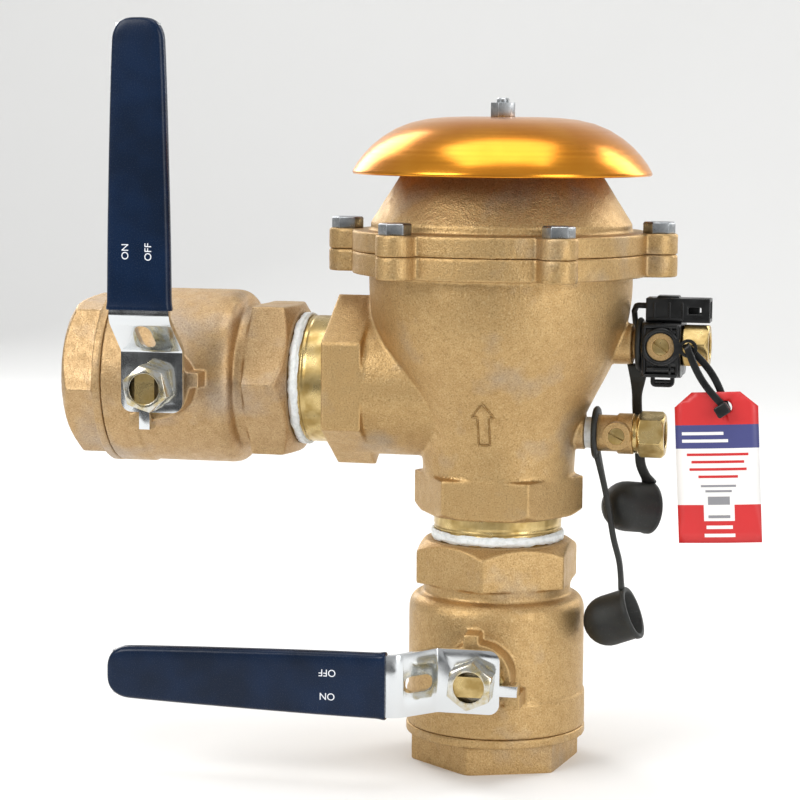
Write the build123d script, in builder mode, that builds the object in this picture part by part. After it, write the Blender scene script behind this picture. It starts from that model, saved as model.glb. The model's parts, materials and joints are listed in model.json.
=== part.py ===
from build123d import *
import math
import os

os.makedirs("parts", exist_ok=True)

# Two-inch pressure vacuum breaker with two ball valves, millimetres.
# Origin: centre of the inlet mouth. +Z runs up the riser, the outlet leaves along -X,
# the valve stems face -Y and the test cocks point along +X.

# ---------------------------------------------------------------- pipe threads
pipe_r = 30.15              # outside of 2 in pipe
pipe_thread_r = pipe_r - 0.99   # pitch radius of the 2 in taper thread, shared by both halves
pipe_bore_r = pipe_r - 4.75
engagement = 17.0           # thread length made up at each joint
cock_pipe_r = 6.85          # outside of 1/4 in pipe
cock_thread_r = cock_pipe_r - 0.61   # pitch radius of the 1/4 in taper thread
thread_pitch = 2.2

# ---------------------------------------------------------------- fits
running = 0.05              # radial clearance of a turning or sliding shaft
slack = 0.1                 # clearance of a loose inner fit
stop_gap = 0.2              # left between a stop and what meets it

# ---------------------------------------------------------------- ball valves
hex_af = 2 * pipe_r + 9.7
hex_chamfer = 4.7           # how far down a corner the turned chamfer reaches
hex_face_r = hex_af / 2 - 1.5   # radius where the chamfer meets the end face
port_r = 24.5
ball_r = 34.5
cavity_r = ball_r + 2.5
seat_r = ball_r - 3.5
seat_length = 6.0
seat_overlap = 4.3          # how far a seat reaches over the ball
seat_inset = math.sqrt(ball_r ** 2 - port_r ** 2) - seat_overlap
body_r = cavity_r + 4.4
body_band_r = body_r + 0.8
body_band_length = 16.0
body_hex_length = 20.0
neck_r = hex_af / 2 - 0.3
neck_length = 5.5
shoulder_length = 8.5
cap_hex_length = 17.8
cap_flange_length = 4.4
cap_flange_r = body_r + 1.0
cap_thread_depth = engagement + 1.0
stem_at = cap_thread_depth + 9.0 + seat_length + seat_inset     # from the end cap's mouth
valve_length = stem_at + seat_inset + seat_length + 11.0 + body_hex_length

# Heights on the stem, from the pipe axis towards the handle.
boss_r = 16.0
lug_size = 7.0
lug_reach = 16.75
stem_r = 7.7
collar_r = stem_r + 2.3
collar_top = ball_r + 4.8
tang_width = 6.0
tang_length = 18.0
tang_tip = ball_r - 6.0
packing_r = stem_r + 2.3
packing_floor = body_r + 2.6
packing_length = 4.0
boss_top = packing_floor + packing_length + 4.0
gland_af = 23.0
gland_head = 3.0
plate_floor = boss_top + gland_head + 0.5     # underside of the handle's base
plate_thickness = 3.0
nut_af = 19.2
nut_height = 11.8
stem_tip = plate_floor + plate_thickness + nut_height - 1.0
stem_thread_r = stem_r - 0.6
stem_flats = 9.4

handle_width = 29.5
handle_heel = 12.0          # base length behind the stem
handle_bend = 18.0          # where the base turns outwards
handle_rise = 19.0          # outward offset of the grip
handle_slope = 15.0
handle_bend_r = 5.0
handle_tip = 165.0
handle_tip_width = 20.0
handle_corner_r = 5.0
lock_slot_width = 7.5
lock_slot_length = 10.5
tab_offset = 3.6
tab_width = 5.0
tab_reach = 20.0
grip_start = 36.5
grip_wall = 2.2
grip_side_wall = 0.8
grip_tip_wall = 2.5

# ---------------------------------------------------------------- riser and main body
inlet_gap = 12.5
outlet_gap = 17.0
tape_length = 3.4
tape_thickness = 0.8
outlet_hex_length = 19.0
branch_r = hex_af / 2
body_z = valve_length + inlet_gap
outlet_z = body_z + 60.5
inlet_hex_length = 18.5
wall = 5.5
bowl_r = 61.5
outlet_reach = 16.5         # how far the outlet hex stands out from the bowl
outlet_face = bowl_r + outlet_reach
bowl_waist_r = 41.4
flange_z = body_z + 112.5
flange_r = bowl_r + 8.0
flange_joint_z = flange_z + 10.5
bonnet_flange_top = flange_joint_z + 9.5
bolt_circle_r = flange_r + 4.2
lobe_r = 8.7
bolt_count = 6
bolt_r = 4.0
bolt_head_af = 13.0
bolt_head_height = 5.3
bolt_length = 18.5
chamber_r = bowl_r - 7.5
seal_groove_r = chamber_r + 2.0
seal_width = 3.2
seal_depth = 2.5
ledge_z = flange_z - 24.0
ledge_r = chamber_r - 4.0
seat_z = body_z + 27.5
seat_bore_r = 24.0
arrow_z = body_z + 46.0
arrow_length = 20.0
arrow_width = 10.5
arrow_line = 1.1
arrow_relief = 0.7

# ---------------------------------------------------------------- check and air inlet
check_r = seat_bore_r + 4.0
check_seal_thickness = 3.0
check_disc_thickness = 4.0
guide_stem_r = 4.0
guide_ring_height = 6.0
guide_hub_r = 9.0
guide_hub_drop = 8.0
guide_hub_rise = 4.0
spoke_width = 5.0
spring_r = 7.0
check_wire_r = 0.7
air_wire_r = 0.5

bonnet_r = bowl_r - 0.7
bonnet_cylinder_top = bonnet_flange_top + 3.5
bonnet_neck_r = bonnet_r - 14.1
bonnet_neck_z = bonnet_flange_top + 26.0
bonnet_top = bonnet_neck_z + 3.0
air_seat_z = bonnet_top - 12.0
throat_r = bonnet_neck_r - 10.7
bridge_floor = air_seat_z + 4.0
hub_top = bonnet_top + 14.0
stud_r = 3.0
air_lift = 14.0
air_disc_r = throat_r + 5.0
air_disc_thickness = 4.0
air_rim_height = 9.0
air_seal_thickness = 3.0

canopy_r = flange_r + 0.2
canopy_rim_z = bonnet_top - 3.0
canopy_height = 26.6
canopy_sheet = 1.2
canopy_nut_af = 10.0
canopy_nut_height = 5.5
canopy_lock_height = 6.6
stud_top = canopy_rim_z + canopy_height + canopy_lock_height + 2.1

# ---------------------------------------------------------------- test cocks
upper_cock_z = body_z + 81.0
lower_cock_z = body_z + 39.0
upper_boss_end = bowl_r + 1.5
lower_boss_end = bowl_waist_r
upper_cock_gap = 1.5        # bare thread between the boss and the cock's shoulder
lower_cock_gap = 3.4
upper_boss_r = 9.5
lower_boss_r = 8.0
cock_thread_length = 11.0
cock_body_r = 8.5
cock_step = 11.2
cock_waist_r = 9.5
cock_joint = 19.0
cock_neck_r = 9.0
cock_hex_start = 21.5
cock_length = 33.7
cock_hex_af = 19.0
cock_hex_face_r = 9.3
cock_port_r = 2.6
cock_stem_at = 12.2
cock_ball_r = 6.0
cock_cavity_r = 6.3
cock_seat_r = 5.6
cock_seat_inset = 4.9
cock_seat_length = 1.8
cock_spigot_r = 7.2
cock_spigot_length = 2.0
cock_boss_r = 6.5
cock_boss_top = 12.5
cock_stem_r = 3.8
cock_collar_r = 4.6
cock_collar_top = 7.3
cock_stem_tip = 12.2
cock_tang_width = 2.0
cock_tang_length = 6.0
cock_tang_tip = 4.2
slot_width = 0.9
slot_depth = 1.2

# ---------------------------------------------------------------- caps and their straps
ring_r = cock_body_r + 3.9
ring_width = 2.6
cap_r = cock_hex_af / 2 + 3.1
cap_wall = 2.2
cap_length = 25.0
strap_r = 1.6
strap_bend_r = 9.0

# ---------------------------------------------------------------- sensor, tie and tag
sensor_front = 11.0
sensor_back = 17.0
sensor_bottom = upper_cock_z - 14.5
sensor_top = upper_cock_z + 11.0
sensor_ring_r = cock_boss_r + 1.9
connector_length = 29.5
connector_height = 11.0
connector_width = 12.0
cable_r = 1.35
ear_y = -15.0
ear_thickness = 1.6
ear_reach = 4.0             # from the clamp to the middle of the ear's hole
tie_width = 4.4
tie_thickness = 1.2
tie_hole_r = 2.7
tag_width = 38.0
tag_height = 69.5
tag_thickness = 0.5


def save(part, name, place=Location()):
    """Put a finished piece where it belongs, name it and write its STEP file."""
    piece = place * part
    piece.label = name
    export_step(piece, f"parts/{name}.step")


def turned(points, mode=Mode.ADD):
    """Turn a closed outline of (radius, height) points about the Z axis."""
    with BuildSketch(Plane.XZ) as outline:
        with BuildLine():
            Polyline(*points, close=True)
        make_face()
    revolve(outline.sketch, axis=Axis.Z, mode=mode)


def bored(radius, bottom, top):
    """Bore a straight hole on the Z axis."""
    turned([(0, bottom), (radius, bottom), (radius, top), (0, top)], Mode.SUBTRACT)


def hex_prism(across_flats, bottom, top, turn=0.0, mode=Mode.ADD):
    with BuildSketch(Plane.XY.offset(bottom)) as hexagon:
        RegularPolygon(across_flats / 2, 6, major_radius=False, rotation=turn)
    extrude(hexagon.sketch, amount=top - bottom, mode=mode)


def corner_cut(face, direction, face_r, corner_r, depth):
    """Turn the corners off a hexagon's end, leaving the arcs of a real pipe fitting."""
    margin = 1.0
    slope = (corner_r - face_r) / depth
    outer = corner_r + margin
    turned([(face_r, face), (outer, face), (outer, face - direction * (depth + margin / slope))],
           Mode.SUBTRACT)


def post(plane, radius, start, end, mode=Mode.ADD):
    """A round post or hole along a plane's normal, between two heights above it."""
    with BuildSketch(plane.offset(start)) as disc:
        Circle(radius)
    extrude(disc.sketch, amount=end - start, mode=mode)


hex_corner_r = hex_af / 2 / math.cos(math.radians(30))
cap_joint = cap_hex_length + cap_flange_length
seat_near = stem_at - seat_inset
seat_far = stem_at + seat_inset
stem_plane = Plane(origin=(0, 0, stem_at), x_dir=(1, 0, 0), z_dir=(0, -1, 0))

# Where each valve stands: its own frame has the flow along +Z and the handle towards -X.
inlet_place = Location((0, 0, 0))
outlet_place = Location((-outlet_face - outlet_gap - valve_length, 0, outlet_z), (0, 90, 0))


def ball_valve(name, place, cap_turn, nut_turn):
    """One full-port ball valve, closed, with its lever."""
    hex_start = valve_length - body_hex_length
    neck_start = hex_start - neck_length

    with BuildPart() as body:
        with BuildSketch(Plane.XZ):
            with BuildLine():
                Polyline((0, cap_joint), (body_band_r, cap_joint),
                         (body_band_r, cap_joint + body_band_length),
                         (body_r, cap_joint + body_band_length + 0.6),
                         (body_r, neck_start - shoulder_length))
                Bezier((body_r, neck_start - shoulder_length), (body_r, neck_start),
                       (neck_r, neck_start))
                Polyline((neck_r, neck_start), (neck_r, hex_start), (0, hex_start), (0, cap_joint))
            make_face()
        revolve(axis=Axis.Z)
        hex_prism(hex_af, hex_start, valve_length, turn=30)
        corner_cut(valve_length, 1, hex_face_r, hex_corner_r, hex_chamfer)
        post(stem_plane, boss_r, 0, boss_top)
        lug_centre = tab_offset + tab_width / 2 + stop_gap + lug_size / 2
        for across, along in ((lug_reach, -lug_centre), (2 * tab_offset - lug_centre, lug_reach)):
            with BuildSketch(stem_plane):
                with Locations((across, along)):
                    Rectangle(lug_size, lug_size)
            extrude(amount=boss_top)
        bored(cavity_r, 0, seat_far)
        bored(seat_r, seat_far, seat_far + seat_length)
        bored(port_r, seat_far + seat_length, hex_start)
        bored(pipe_thread_r, hex_start, valve_length)
        post(stem_plane, collar_r + 0.5, 0, collar_top + running, Mode.SUBTRACT)
        post(stem_plane, stem_r + running, 0, boss_top, Mode.SUBTRACT)
        post(stem_plane, packing_r, packing_floor, boss_top, Mode.SUBTRACT)
    save(body.part, f"{name}_valve_body", place)

    with BuildPart() as end_cap:
        hex_prism(hex_af, 0, cap_hex_length, turn=30 + cap_turn)
        corner_cut(0, -1, hex_face_r, hex_corner_r, hex_chamfer)
        turned([(0, cap_hex_length), (cap_flange_r, cap_hex_length), (cap_flange_r, cap_joint),
                (cavity_r, cap_joint), (cavity_r, seat_near), (0, seat_near)])
        bored(pipe_thread_r, 0, cap_thread_depth)
        bored(port_r, 0, seat_near)
        bored(seat_r, seat_near - seat_length, seat_near)
    save(end_cap.part, f"{name}_end_cap", place)

    with BuildPart() as ball:
        with Locations((0, 0, stem_at)):
            Sphere(ball_r)
            Cylinder(port_r, 3 * ball_r, rotation=(0, 90, 0), mode=Mode.SUBTRACT)
        with BuildSketch(stem_plane.offset(tang_tip - slack)):
            Rectangle(tang_width + 2 * slack, 2 * ball_r)
        extrude(amount=ball_r, mode=Mode.SUBTRACT)
    save(ball.part, f"{name}_ball", place)

    with BuildPart() as seats:
        turned([(port_r, seat_near - seat_length), (seat_r, seat_near - seat_length),
                (seat_r, seat_near), (port_r, seat_near)])
        turned([(port_r, seat_far), (seat_r, seat_far),
                (seat_r, seat_far + seat_length), (port_r, seat_far + seat_length)])
        with Locations((0, 0, stem_at)):
            Sphere(ball_r + running, mode=Mode.SUBTRACT)
    save(seats.part, f"{name}_ball_seats", place)

    with BuildPart() as stem:
        with BuildSketch(stem_plane.offset(tang_tip)):
            Rectangle(tang_width, tang_length)
        extrude(amount=ball_r + slack - tang_tip)
        post(stem_plane, collar_r, ball_r + slack, collar_top)
        post(stem_plane, stem_r, collar_top, plate_floor)
        with BuildSketch(stem_plane.offset(plate_floor)):
            Circle(stem_thread_r)
            Rectangle(2 * stem_thread_r, stem_flats, mode=Mode.INTERSECT)
        extrude(amount=stem_tip - plate_floor)
    save(stem.part, f"{name}_stem", place)

    with BuildPart() as packing:
        post(stem_plane, packing_r, packing_floor, packing_floor + packing_length)
        post(stem_plane, stem_r + running, packing_floor, packing_floor + packing_length,
             Mode.SUBTRACT)
    save(packing.part, f"{name}_stem_packing", place)

    with BuildPart() as gland:
        post(stem_plane, packing_r, packing_floor + packing_length, boss_top)
        with BuildSketch(stem_plane.offset(boss_top)):
            RegularPolygon(gland_af / 2, 6, major_radius=False)
        extrude(amount=gland_head)
        post(stem_plane, stem_r + running, packing_floor, boss_top + gland_head, Mode.SUBTRACT)
    save(gland.part, f"{name}_gland_nut", place)

    grip_level = plate_floor + handle_rise
    strip = [(handle_heel, -plate_floor), (-handle_bend, -plate_floor),
             (-handle_bend - handle_slope, -grip_level), (-handle_tip, -grip_level)]
    with BuildPart() as handle:
        with BuildSketch(Plane.XY.offset(stem_at - handle_width / 2)):
            with BuildLine():
                inner = FilletPolyline(*strip, radius=handle_bend_r)
                offset(inner, amount=plate_thickness, side=Side.LEFT)
            make_face()
        extrude(amount=handle_width)
        with BuildSketch(stem_plane):
            with BuildLine():
                Polyline((handle_heel, -handle_width / 2), (handle_heel, handle_width / 2),
                         (-handle_bend, handle_width / 2), (-handle_tip, handle_tip_width / 2),
                         (-handle_tip, -handle_tip_width / 2), (-handle_bend, -handle_width / 2),
                         close=True)
            outline = make_face()
            fillet(outline.vertices().group_by(Axis.X)[-1], handle_corner_r)
            fillet(outline.vertices().group_by(Axis.X)[0], handle_tip_width / 2 - 1)
        extrude(amount=2 * grip_level, mode=Mode.INTERSECT)
        tab_y = -plate_floor - plate_thickness / 2
        tab_z = stem_at - tab_offset
        tab_length = tab_reach - handle_heel
        with Locations((handle_heel + tab_length / 2 - 0.5, tab_y, tab_z)):
            Box(tab_length + 1, plate_thickness, tab_width)
        curl = plate_floor - boss_top + 2.5
        with Locations((tab_reach - plate_thickness / 2, -plate_floor + curl / 2, tab_z)):
            Box(plate_thickness, curl, tab_width)
        with BuildSketch(stem_plane.offset(plate_floor - 1)):
            Circle(stem_thread_r)
            Rectangle(2 * stem_thread_r, stem_flats, mode=Mode.INTERSECT)
        extrude(amount=plate_thickness + 2, mode=Mode.SUBTRACT)
        with BuildSketch(stem_plane.offset(plate_floor)):
            with Locations((-handle_bend - 0.5 - lock_slot_length / 2, 0)):
                RectangleRounded(lock_slot_length, lock_slot_width, 3.0)
        extrude(amount=2 * handle_rise, mode=Mode.SUBTRACT)
    save(handle.part, f"{name}_handle", place)

    grip_end = handle_tip + grip_tip_wall
    root_width = handle_width + 2 * grip_side_wall
    end_width = handle_tip_width + 2 * grip_tip_wall
    with BuildPart() as grip:
        with BuildSketch(stem_plane.offset(grip_level - grip_wall)):
            with BuildLine():
                Polyline((-grip_start, -root_width / 2), (-grip_start, root_width / 2),
                         (-grip_end, end_width / 2), (-grip_end, -end_width / 2), close=True)
            outline = make_face()
            fillet(outline.vertices().group_by(Axis.X)[0], end_width / 2 - 1)
        extrude(amount=plate_thickness + 2 * grip_wall)
        fillet(grip.faces().sort_by(Axis.Y)[0].edges(), grip_wall - 0.4)
        fillet(grip.faces().sort_by(Axis.Y)[-1].edges(), grip_wall - 0.4)
        add(handle.part, mode=Mode.SUBTRACT)
    save(grip.part, f"{name}_grip", place)

    nut_floor = plate_floor + plate_thickness
    with BuildPart() as nut:
        with BuildSketch(stem_plane.offset(nut_floor)):
            RegularPolygon(nut_af / 2, 6, major_radius=False, rotation=nut_turn)
        extrude(amount=nut_height)
        nut_corner_r = nut_af / 2 / math.cos(math.radians(30))
        with BuildSketch(Plane(origin=(0, 0, stem_at), x_dir=(1, 0, 0), z_dir=(0, 0, 1))):
            with BuildLine():
                top = -nut_floor - nut_height
                Polyline((nut_af / 2 - 0.6, top), (nut_corner_r + 1, top),
                         (nut_corner_r + 1, top + 1.6), close=True)
            make_face()
        revolve(axis=Axis((0, 0, stem_at), (0, 1, 0)), mode=Mode.SUBTRACT)
        post(stem_plane, stem_thread_r, nut_floor, nut_floor + nut_height, Mode.SUBTRACT)
    save(nut.part, f"{name}_handle_nut", place)


ball_valve("inlet", inlet_place, cap_turn=-9.0, nut_turn=24.0)
ball_valve("outlet", outlet_place, cap_turn=7.5, nut_turn=12.0)


def nipple(name, gap, place):
    """A close pipe nipple standing on a valve's face, with its last threads showing."""
    with BuildPart() as pipe:
        turned([(0, -engagement), (pipe_thread_r, -engagement), (pipe_thread_r, 0), (pipe_r, 0),
                (pipe_r, gap), (pipe_thread_r, gap), (pipe_thread_r, gap + engagement),
                (0, gap + engagement)])
        bored(pipe_bore_r, -engagement, gap + engagement)
        for turn in range(2):
            groove = tape_length + (turn + 0.6) * thread_pitch
            turned([(pipe_r + 0.1, groove - 0.8), (pipe_r + 0.1, groove + 0.8),
                    (pipe_r - 0.9, groove)], Mode.SUBTRACT)
    save(pipe.part, f"{name}_nipple", place)

    with BuildPart() as tape:
        turned([(pipe_r, 0), (pipe_r + tape_thickness, 0), (pipe_r + tape_thickness, tape_length),
                (pipe_r, tape_length)])
    save(tape.part, f"{name}_thread_tape", place)


nipple("inlet", inlet_gap, Location((0, 0, valve_length)))
nipple("outlet", outlet_gap, Location((-outlet_face - outlet_gap, 0, outlet_z), (0, 90, 0)))

# ---------------------------------------------------------------- main body
outlet_plane = Plane(origin=(0, 0, outlet_z), x_dir=(0, 1, 0), z_dir=(-1, 0, 0))
bowl_foot_z = body_z + inlet_hex_length
bowl_shoulder_r = bowl_waist_r + 0.557 * (bowl_r - bowl_waist_r)
bowl = [(branch_r + 1.0, seat_z), (bowl_waist_r, seat_z + 20.7), (bowl_shoulder_r, seat_z + 43.0),
        (bowl_r - 2.5, seat_z + 60.0), (bowl_r - 0.5, flange_z - 13.0), (bowl_r, flange_z)]
bore_wall = [(branch_r + 1.0 - wall, seat_z + 2), (bowl_waist_r - wall, seat_z + 20.7),
             (bowl_shoulder_r - wall - 0.6, seat_z + 43.0), (ledge_r, ledge_z - 8.0),
             (ledge_r, ledge_z), (chamber_r, ledge_z), (chamber_r, flange_joint_z)]


def flange_plate(bottom, top):
    """A round flange with a lobe at each bolt."""
    with BuildSketch(Plane.XY.offset(bottom)) as plate:
        Circle(flange_r)
        with PolarLocations(bolt_circle_r, bolt_count):
            Circle(lobe_r)
        with PolarLocations(bolt_circle_r - lobe_r / 2, bolt_count):
            Rectangle(lobe_r, 2 * lobe_r)
    extrude(plate.sketch, amount=top - bottom)


def bowl_shape(growth):
    """The bowl's outer shape, grown outwards for what stands proud of it."""
    outline = [(radius + growth, height) for radius, height in bowl]
    with BuildSketch(Plane.XZ) as section:
        with BuildLine():
            Polyline((0, flange_z), (0, bowl_foot_z), (outline[0][0] - 0.5, bowl_foot_z), outline[0])
            Spline(*outline, tangents=((0.02, 1), (0, 1)))
            Line(outline[-1], (0, flange_z))
        make_face()
    revolve(section.sketch, axis=Axis.Z)


with BuildPart() as arrow:
    bowl_shape(arrow_relief)
    with BuildSketch(Plane.XZ.offset(branch_r - 5)):
        with BuildLine():
            half, head = arrow_width / 2, arrow_length / 2
            Polyline((0, arrow_z + head), (half, arrow_z + head / 3), (half / 2, arrow_z + head / 3),
                     (half / 2, arrow_z - head), (-half / 2, arrow_z - head),
                     (-half / 2, arrow_z + head / 3), (-half, arrow_z + head / 3), close=True)
        make_face()
        offset(amount=-arrow_line, kind=Kind.INTERSECTION, mode=Mode.SUBTRACT)
    extrude(amount=2 * branch_r, mode=Mode.INTERSECT)

with BuildPart() as main_body:
    bowl_shape(0)
    add(arrow.part)
    flange_plate(flange_z, flange_joint_z)
    hex_prism(hex_af, body_z, bowl_foot_z)
    corner_cut(body_z, -1, hex_af / 2 + 1.0, hex_corner_r, 3.0)
    post(outlet_plane, branch_r, 0, outlet_face - outlet_hex_length)
    with BuildSketch(outlet_plane.offset(outlet_face - outlet_hex_length)):
        RegularPolygon(hex_af / 2, 6, major_radius=False, rotation=30)
    extrude(amount=outlet_hex_length)
    post(Plane.YZ.offset(0).shift_origin((0, 0, upper_cock_z)), upper_boss_r, 0, upper_boss_end)
    post(Plane.YZ.offset(0).shift_origin((0, 0, lower_cock_z)), lower_boss_r, 0, lower_boss_end)
    with BuildSketch(Plane.XZ):
        with BuildLine():
            Polyline((0, body_z), (pipe_thread_r, body_z), (pipe_thread_r, body_z + engagement + 1),
                     (seat_bore_r, body_z + engagement + 1), (seat_bore_r, seat_z),
                     (bore_wall[0][0], seat_z), *bore_wall, (0, flange_joint_z), close=True)
        make_face()
    revolve(axis=Axis.Z, mode=Mode.SUBTRACT)
    post(outlet_plane, pipe_bore_r, 0, outlet_face, Mode.SUBTRACT)
    post(outlet_plane, pipe_thread_r, outlet_face - engagement - 1, outlet_face, Mode.SUBTRACT)
    for height, end in ((upper_cock_z, upper_boss_end), (lower_cock_z, lower_boss_end)):
        boss_plane = Plane.YZ.shift_origin((0, 0, height))
        post(boss_plane, cock_port_r, 0, end, Mode.SUBTRACT)
        post(boss_plane, cock_thread_r, end - cock_thread_length, end, Mode.SUBTRACT)
    turned([(seal_groove_r, flange_joint_z - seal_depth),
            (seal_groove_r + seal_width, flange_joint_z - seal_depth),
            (seal_groove_r + seal_width, flange_joint_z), (seal_groove_r, flange_joint_z)],
           Mode.SUBTRACT)
    with BuildSketch(Plane.XY.offset(flange_joint_z)):
        with PolarLocations(bolt_circle_r, bolt_count):
            Circle(bolt_r)
    bolt_grip = bonnet_flange_top - flange_joint_z
    extrude(amount=-(bolt_length - bolt_grip), mode=Mode.SUBTRACT)
save(main_body.part, "main_body")

# ---------------------------------------------------------------- bonnet and its fasteners
with BuildPart() as bonnet:
    flange_plate(flange_joint_z, bonnet_flange_top)
    turned([(0, flange_joint_z), (bonnet_r, flange_joint_z), (bonnet_r, bonnet_cylinder_top),
            (bonnet_neck_r, bonnet_neck_z), (bonnet_neck_r, bonnet_top), (0, bonnet_top)])
    turned([(0, flange_joint_z), (chamber_r, flange_joint_z), (chamber_r, bonnet_cylinder_top - 1),
            (air_disc_r + 1, air_seat_z), (throat_r, air_seat_z), (throat_r, bonnet_top),
            (0, bonnet_top)], Mode.SUBTRACT)
    with BuildSketch(Plane.XY.offset(flange_joint_z)):
        with PolarLocations(bolt_circle_r, bolt_count):
            Circle(bolt_r)
    extrude(amount=bolt_grip, mode=Mode.SUBTRACT)
    with BuildSketch(Plane.XY.offset(bridge_floor)):
        with PolarLocations(throat_r / 2, 3):
            Rectangle(throat_r + 2, spoke_width)
    extrude(amount=bonnet_top - bridge_floor)
    turned([(0, air_seat_z), (guide_hub_r, air_seat_z), (guide_hub_r, hub_top - 6),
            (guide_hub_r - 2, hub_top), (0, hub_top)])
    bored(guide_stem_r + running, air_seat_z, hub_top - 8)
    bored(stud_r, hub_top - 8, hub_top)
save(bonnet.part, "bonnet")

with BuildPart() as bonnet_seal:
    with BuildSketch(Plane.XZ):
        with Locations((seal_groove_r + seal_width / 2, flange_joint_z - seal_depth / 2)):
            RectangleRounded(seal_width, seal_depth, seal_depth / 2 - 0.1)
    revolve(axis=Axis.Z)
save(bonnet_seal.part, "bonnet_seal")

with BuildPart() as bonnet_bolts:
    with BuildSketch(Plane.XY.offset(bonnet_flange_top)):
        with PolarLocations(bolt_circle_r, bolt_count):
            RegularPolygon(bolt_head_af / 2, 6, major_radius=False, rotation=12)
    extrude(amount=bolt_head_height)
    chamfer(bonnet_bolts.faces().sort_by(Axis.Z)[-bolt_count:].edges(), 0.6)
    with BuildSketch(Plane.XY.offset(bonnet_flange_top)):
        with PolarLocations(bolt_circle_r, bolt_count):
            Circle(bolt_r)
    extrude(amount=-bolt_length)
save(bonnet_bolts.part, "bonnet_bolts")

# ---------------------------------------------------------------- canopy
canopy_top = canopy_rim_z + canopy_height
dome = [(canopy_r, canopy_rim_z), (0.937 * canopy_r, canopy_rim_z + 0.30 * canopy_height),
        (0.80 * canopy_r, canopy_rim_z + 0.64 * canopy_height),
        (0.63 * canopy_r, canopy_rim_z + 0.88 * canopy_height),
        (0.48 * canopy_r, canopy_top)]
with BuildPart() as canopy:
    with BuildSketch(Plane.XZ):
        with BuildLine():
            outer = Spline(*dome, tangents=((-0.15, 1), (-1, 0)))
            Line(dome[-1], (stud_r + slack, canopy_top))
            Line((stud_r + slack, canopy_top), (stud_r + slack, canopy_top - canopy_sheet))
            inner = [(max(radius - canopy_sheet, 0), height) for radius, height in dome[:-1]]
            inner[1:] = [(radius, height - 0.3 * canopy_sheet) for radius, height in inner[1:]]
            inner.append((dome[-1][0], canopy_top - canopy_sheet))
            Line((stud_r + slack, canopy_top - canopy_sheet), inner[-1])
            Spline(*inner, tangents=((-0.15, 1), (-1, 0)))
            Line(inner[0], dome[0])
        make_face()
    revolve(axis=Axis.Z)
save(canopy.part, "canopy")

with BuildPart() as canopy_stud:
    post(Plane.XY, stud_r, hub_top - 8, stud_top)
    chamfer(canopy_stud.faces().sort_by(Axis.Z)[-1].edges(), 0.6)
save(canopy_stud.part, "canopy_stud")

for nut_name, floor, height in (
        ("canopy_spacer_nut", canopy_top - canopy_sheet - canopy_nut_height, canopy_nut_height),
        ("canopy_lock_nut", canopy_top, canopy_lock_height)):
    with BuildPart() as nut:
        hex_prism(canopy_nut_af, floor, floor + height, turn=18)
        bored(stud_r, floor, floor + height)
    save(nut.part, nut_name)

# ---------------------------------------------------------------- check valve
check_floor = seat_z + check_seal_thickness
disc_top = check_floor + check_disc_thickness
guide_z = ledge_z
guide_top = ledge_z + guide_ring_height
hub_floor = guide_z - guide_hub_drop
check_stem_top = guide_top - 2.0
retainer_r = seat_bore_r - 4.0

with BuildPart() as check_seal:
    post(Plane.XY, check_r, seat_z, check_floor)
    bored(guide_stem_r, seat_z, check_floor)
save(check_seal.part, "check_seal")

with BuildPart() as check_poppet:
    turned([(0, check_floor), (check_r, check_floor), (check_r, disc_top),
            (guide_stem_r, disc_top), (guide_stem_r, check_stem_top), (0, check_stem_top)])
    bored(2.5, check_floor, check_floor + 6)
save(check_poppet.part, "check_poppet")

with BuildPart() as check_retainer:
    turned([(0, seat_z - 2), (retainer_r, seat_z - 2), (retainer_r, seat_z), (guide_stem_r, seat_z),
            (guide_stem_r, check_floor), (2.5, check_floor), (2.5, check_floor + 6),
            (0, check_floor + 6)])
save(check_retainer.part, "check_seal_retainer")

with BuildPart() as check_guide:
    turned([(ledge_r - 2, guide_z), (chamber_r - slack, guide_z), (chamber_r - slack, guide_top),
            (ledge_r - 2, guide_top)])
    with BuildSketch(Plane.XY.offset(guide_z)):
        with PolarLocations(ledge_r / 2, 3):
            Rectangle(ledge_r, spoke_width)
    extrude(amount=guide_ring_height)
    post(Plane.XY, guide_hub_r, hub_floor, guide_top + guide_hub_rise)
    bored(guide_stem_r + running, hub_floor, guide_top + guide_hub_rise)
save(check_guide.part, "check_guide")


def spring(name, bottom, top, wire_r, coils):
    """A plain compression spring between two faces."""
    height = top - bottom - 2 * wire_r
    with BuildPart() as coil:
        with BuildLine(Plane.XY.offset(bottom + wire_r)) as path:
            Helix(pitch=height / coils, height=height, radius=spring_r)
        with BuildSketch(Plane(origin=path.line @ 0, z_dir=path.line % 0)) as wire:
            Circle(wire_r)
        sweep(wire.sketch, path=path.line, is_frenet=True)
    save(coil.part, name)


spring("check_spring", disc_top, hub_floor, check_wire_r, 8)

# ---------------------------------------------------------------- air inlet
air_seal_top = air_seat_z - air_lift
air_seal_floor = air_seal_top - air_seal_thickness
air_floor = air_seal_floor - air_rim_height
air_disc_top = air_floor + air_disc_thickness
air_stem_top = air_seat_z + 3.0
with BuildPart() as air_poppet:
    turned([(0, air_floor), (air_disc_r, air_floor), (air_disc_r, air_seal_floor),
            (throat_r - 3, air_seal_floor), (throat_r - 3, air_disc_top),
            (guide_stem_r, air_disc_top), (guide_stem_r, air_stem_top), (0, air_stem_top)])
save(air_poppet.part, "air_poppet")

with BuildPart() as air_seal:
    turned([(throat_r - 3, air_seal_floor), (air_disc_r, air_seal_floor),
            (air_disc_r, air_seal_top), (throat_r - 3, air_seal_top)])
save(air_seal.part, "air_seal")

spring("air_spring", air_disc_top, air_seat_z, air_wire_r, 5)

# ---------------------------------------------------------------- test cocks
cock_stem_plane = Plane(origin=(0, 0, cock_stem_at), x_dir=(1, 0, 0), z_dir=(0, -1, 0))
cock_hex_corner_r = cock_hex_af / 2 / math.cos(math.radians(30))


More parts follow.
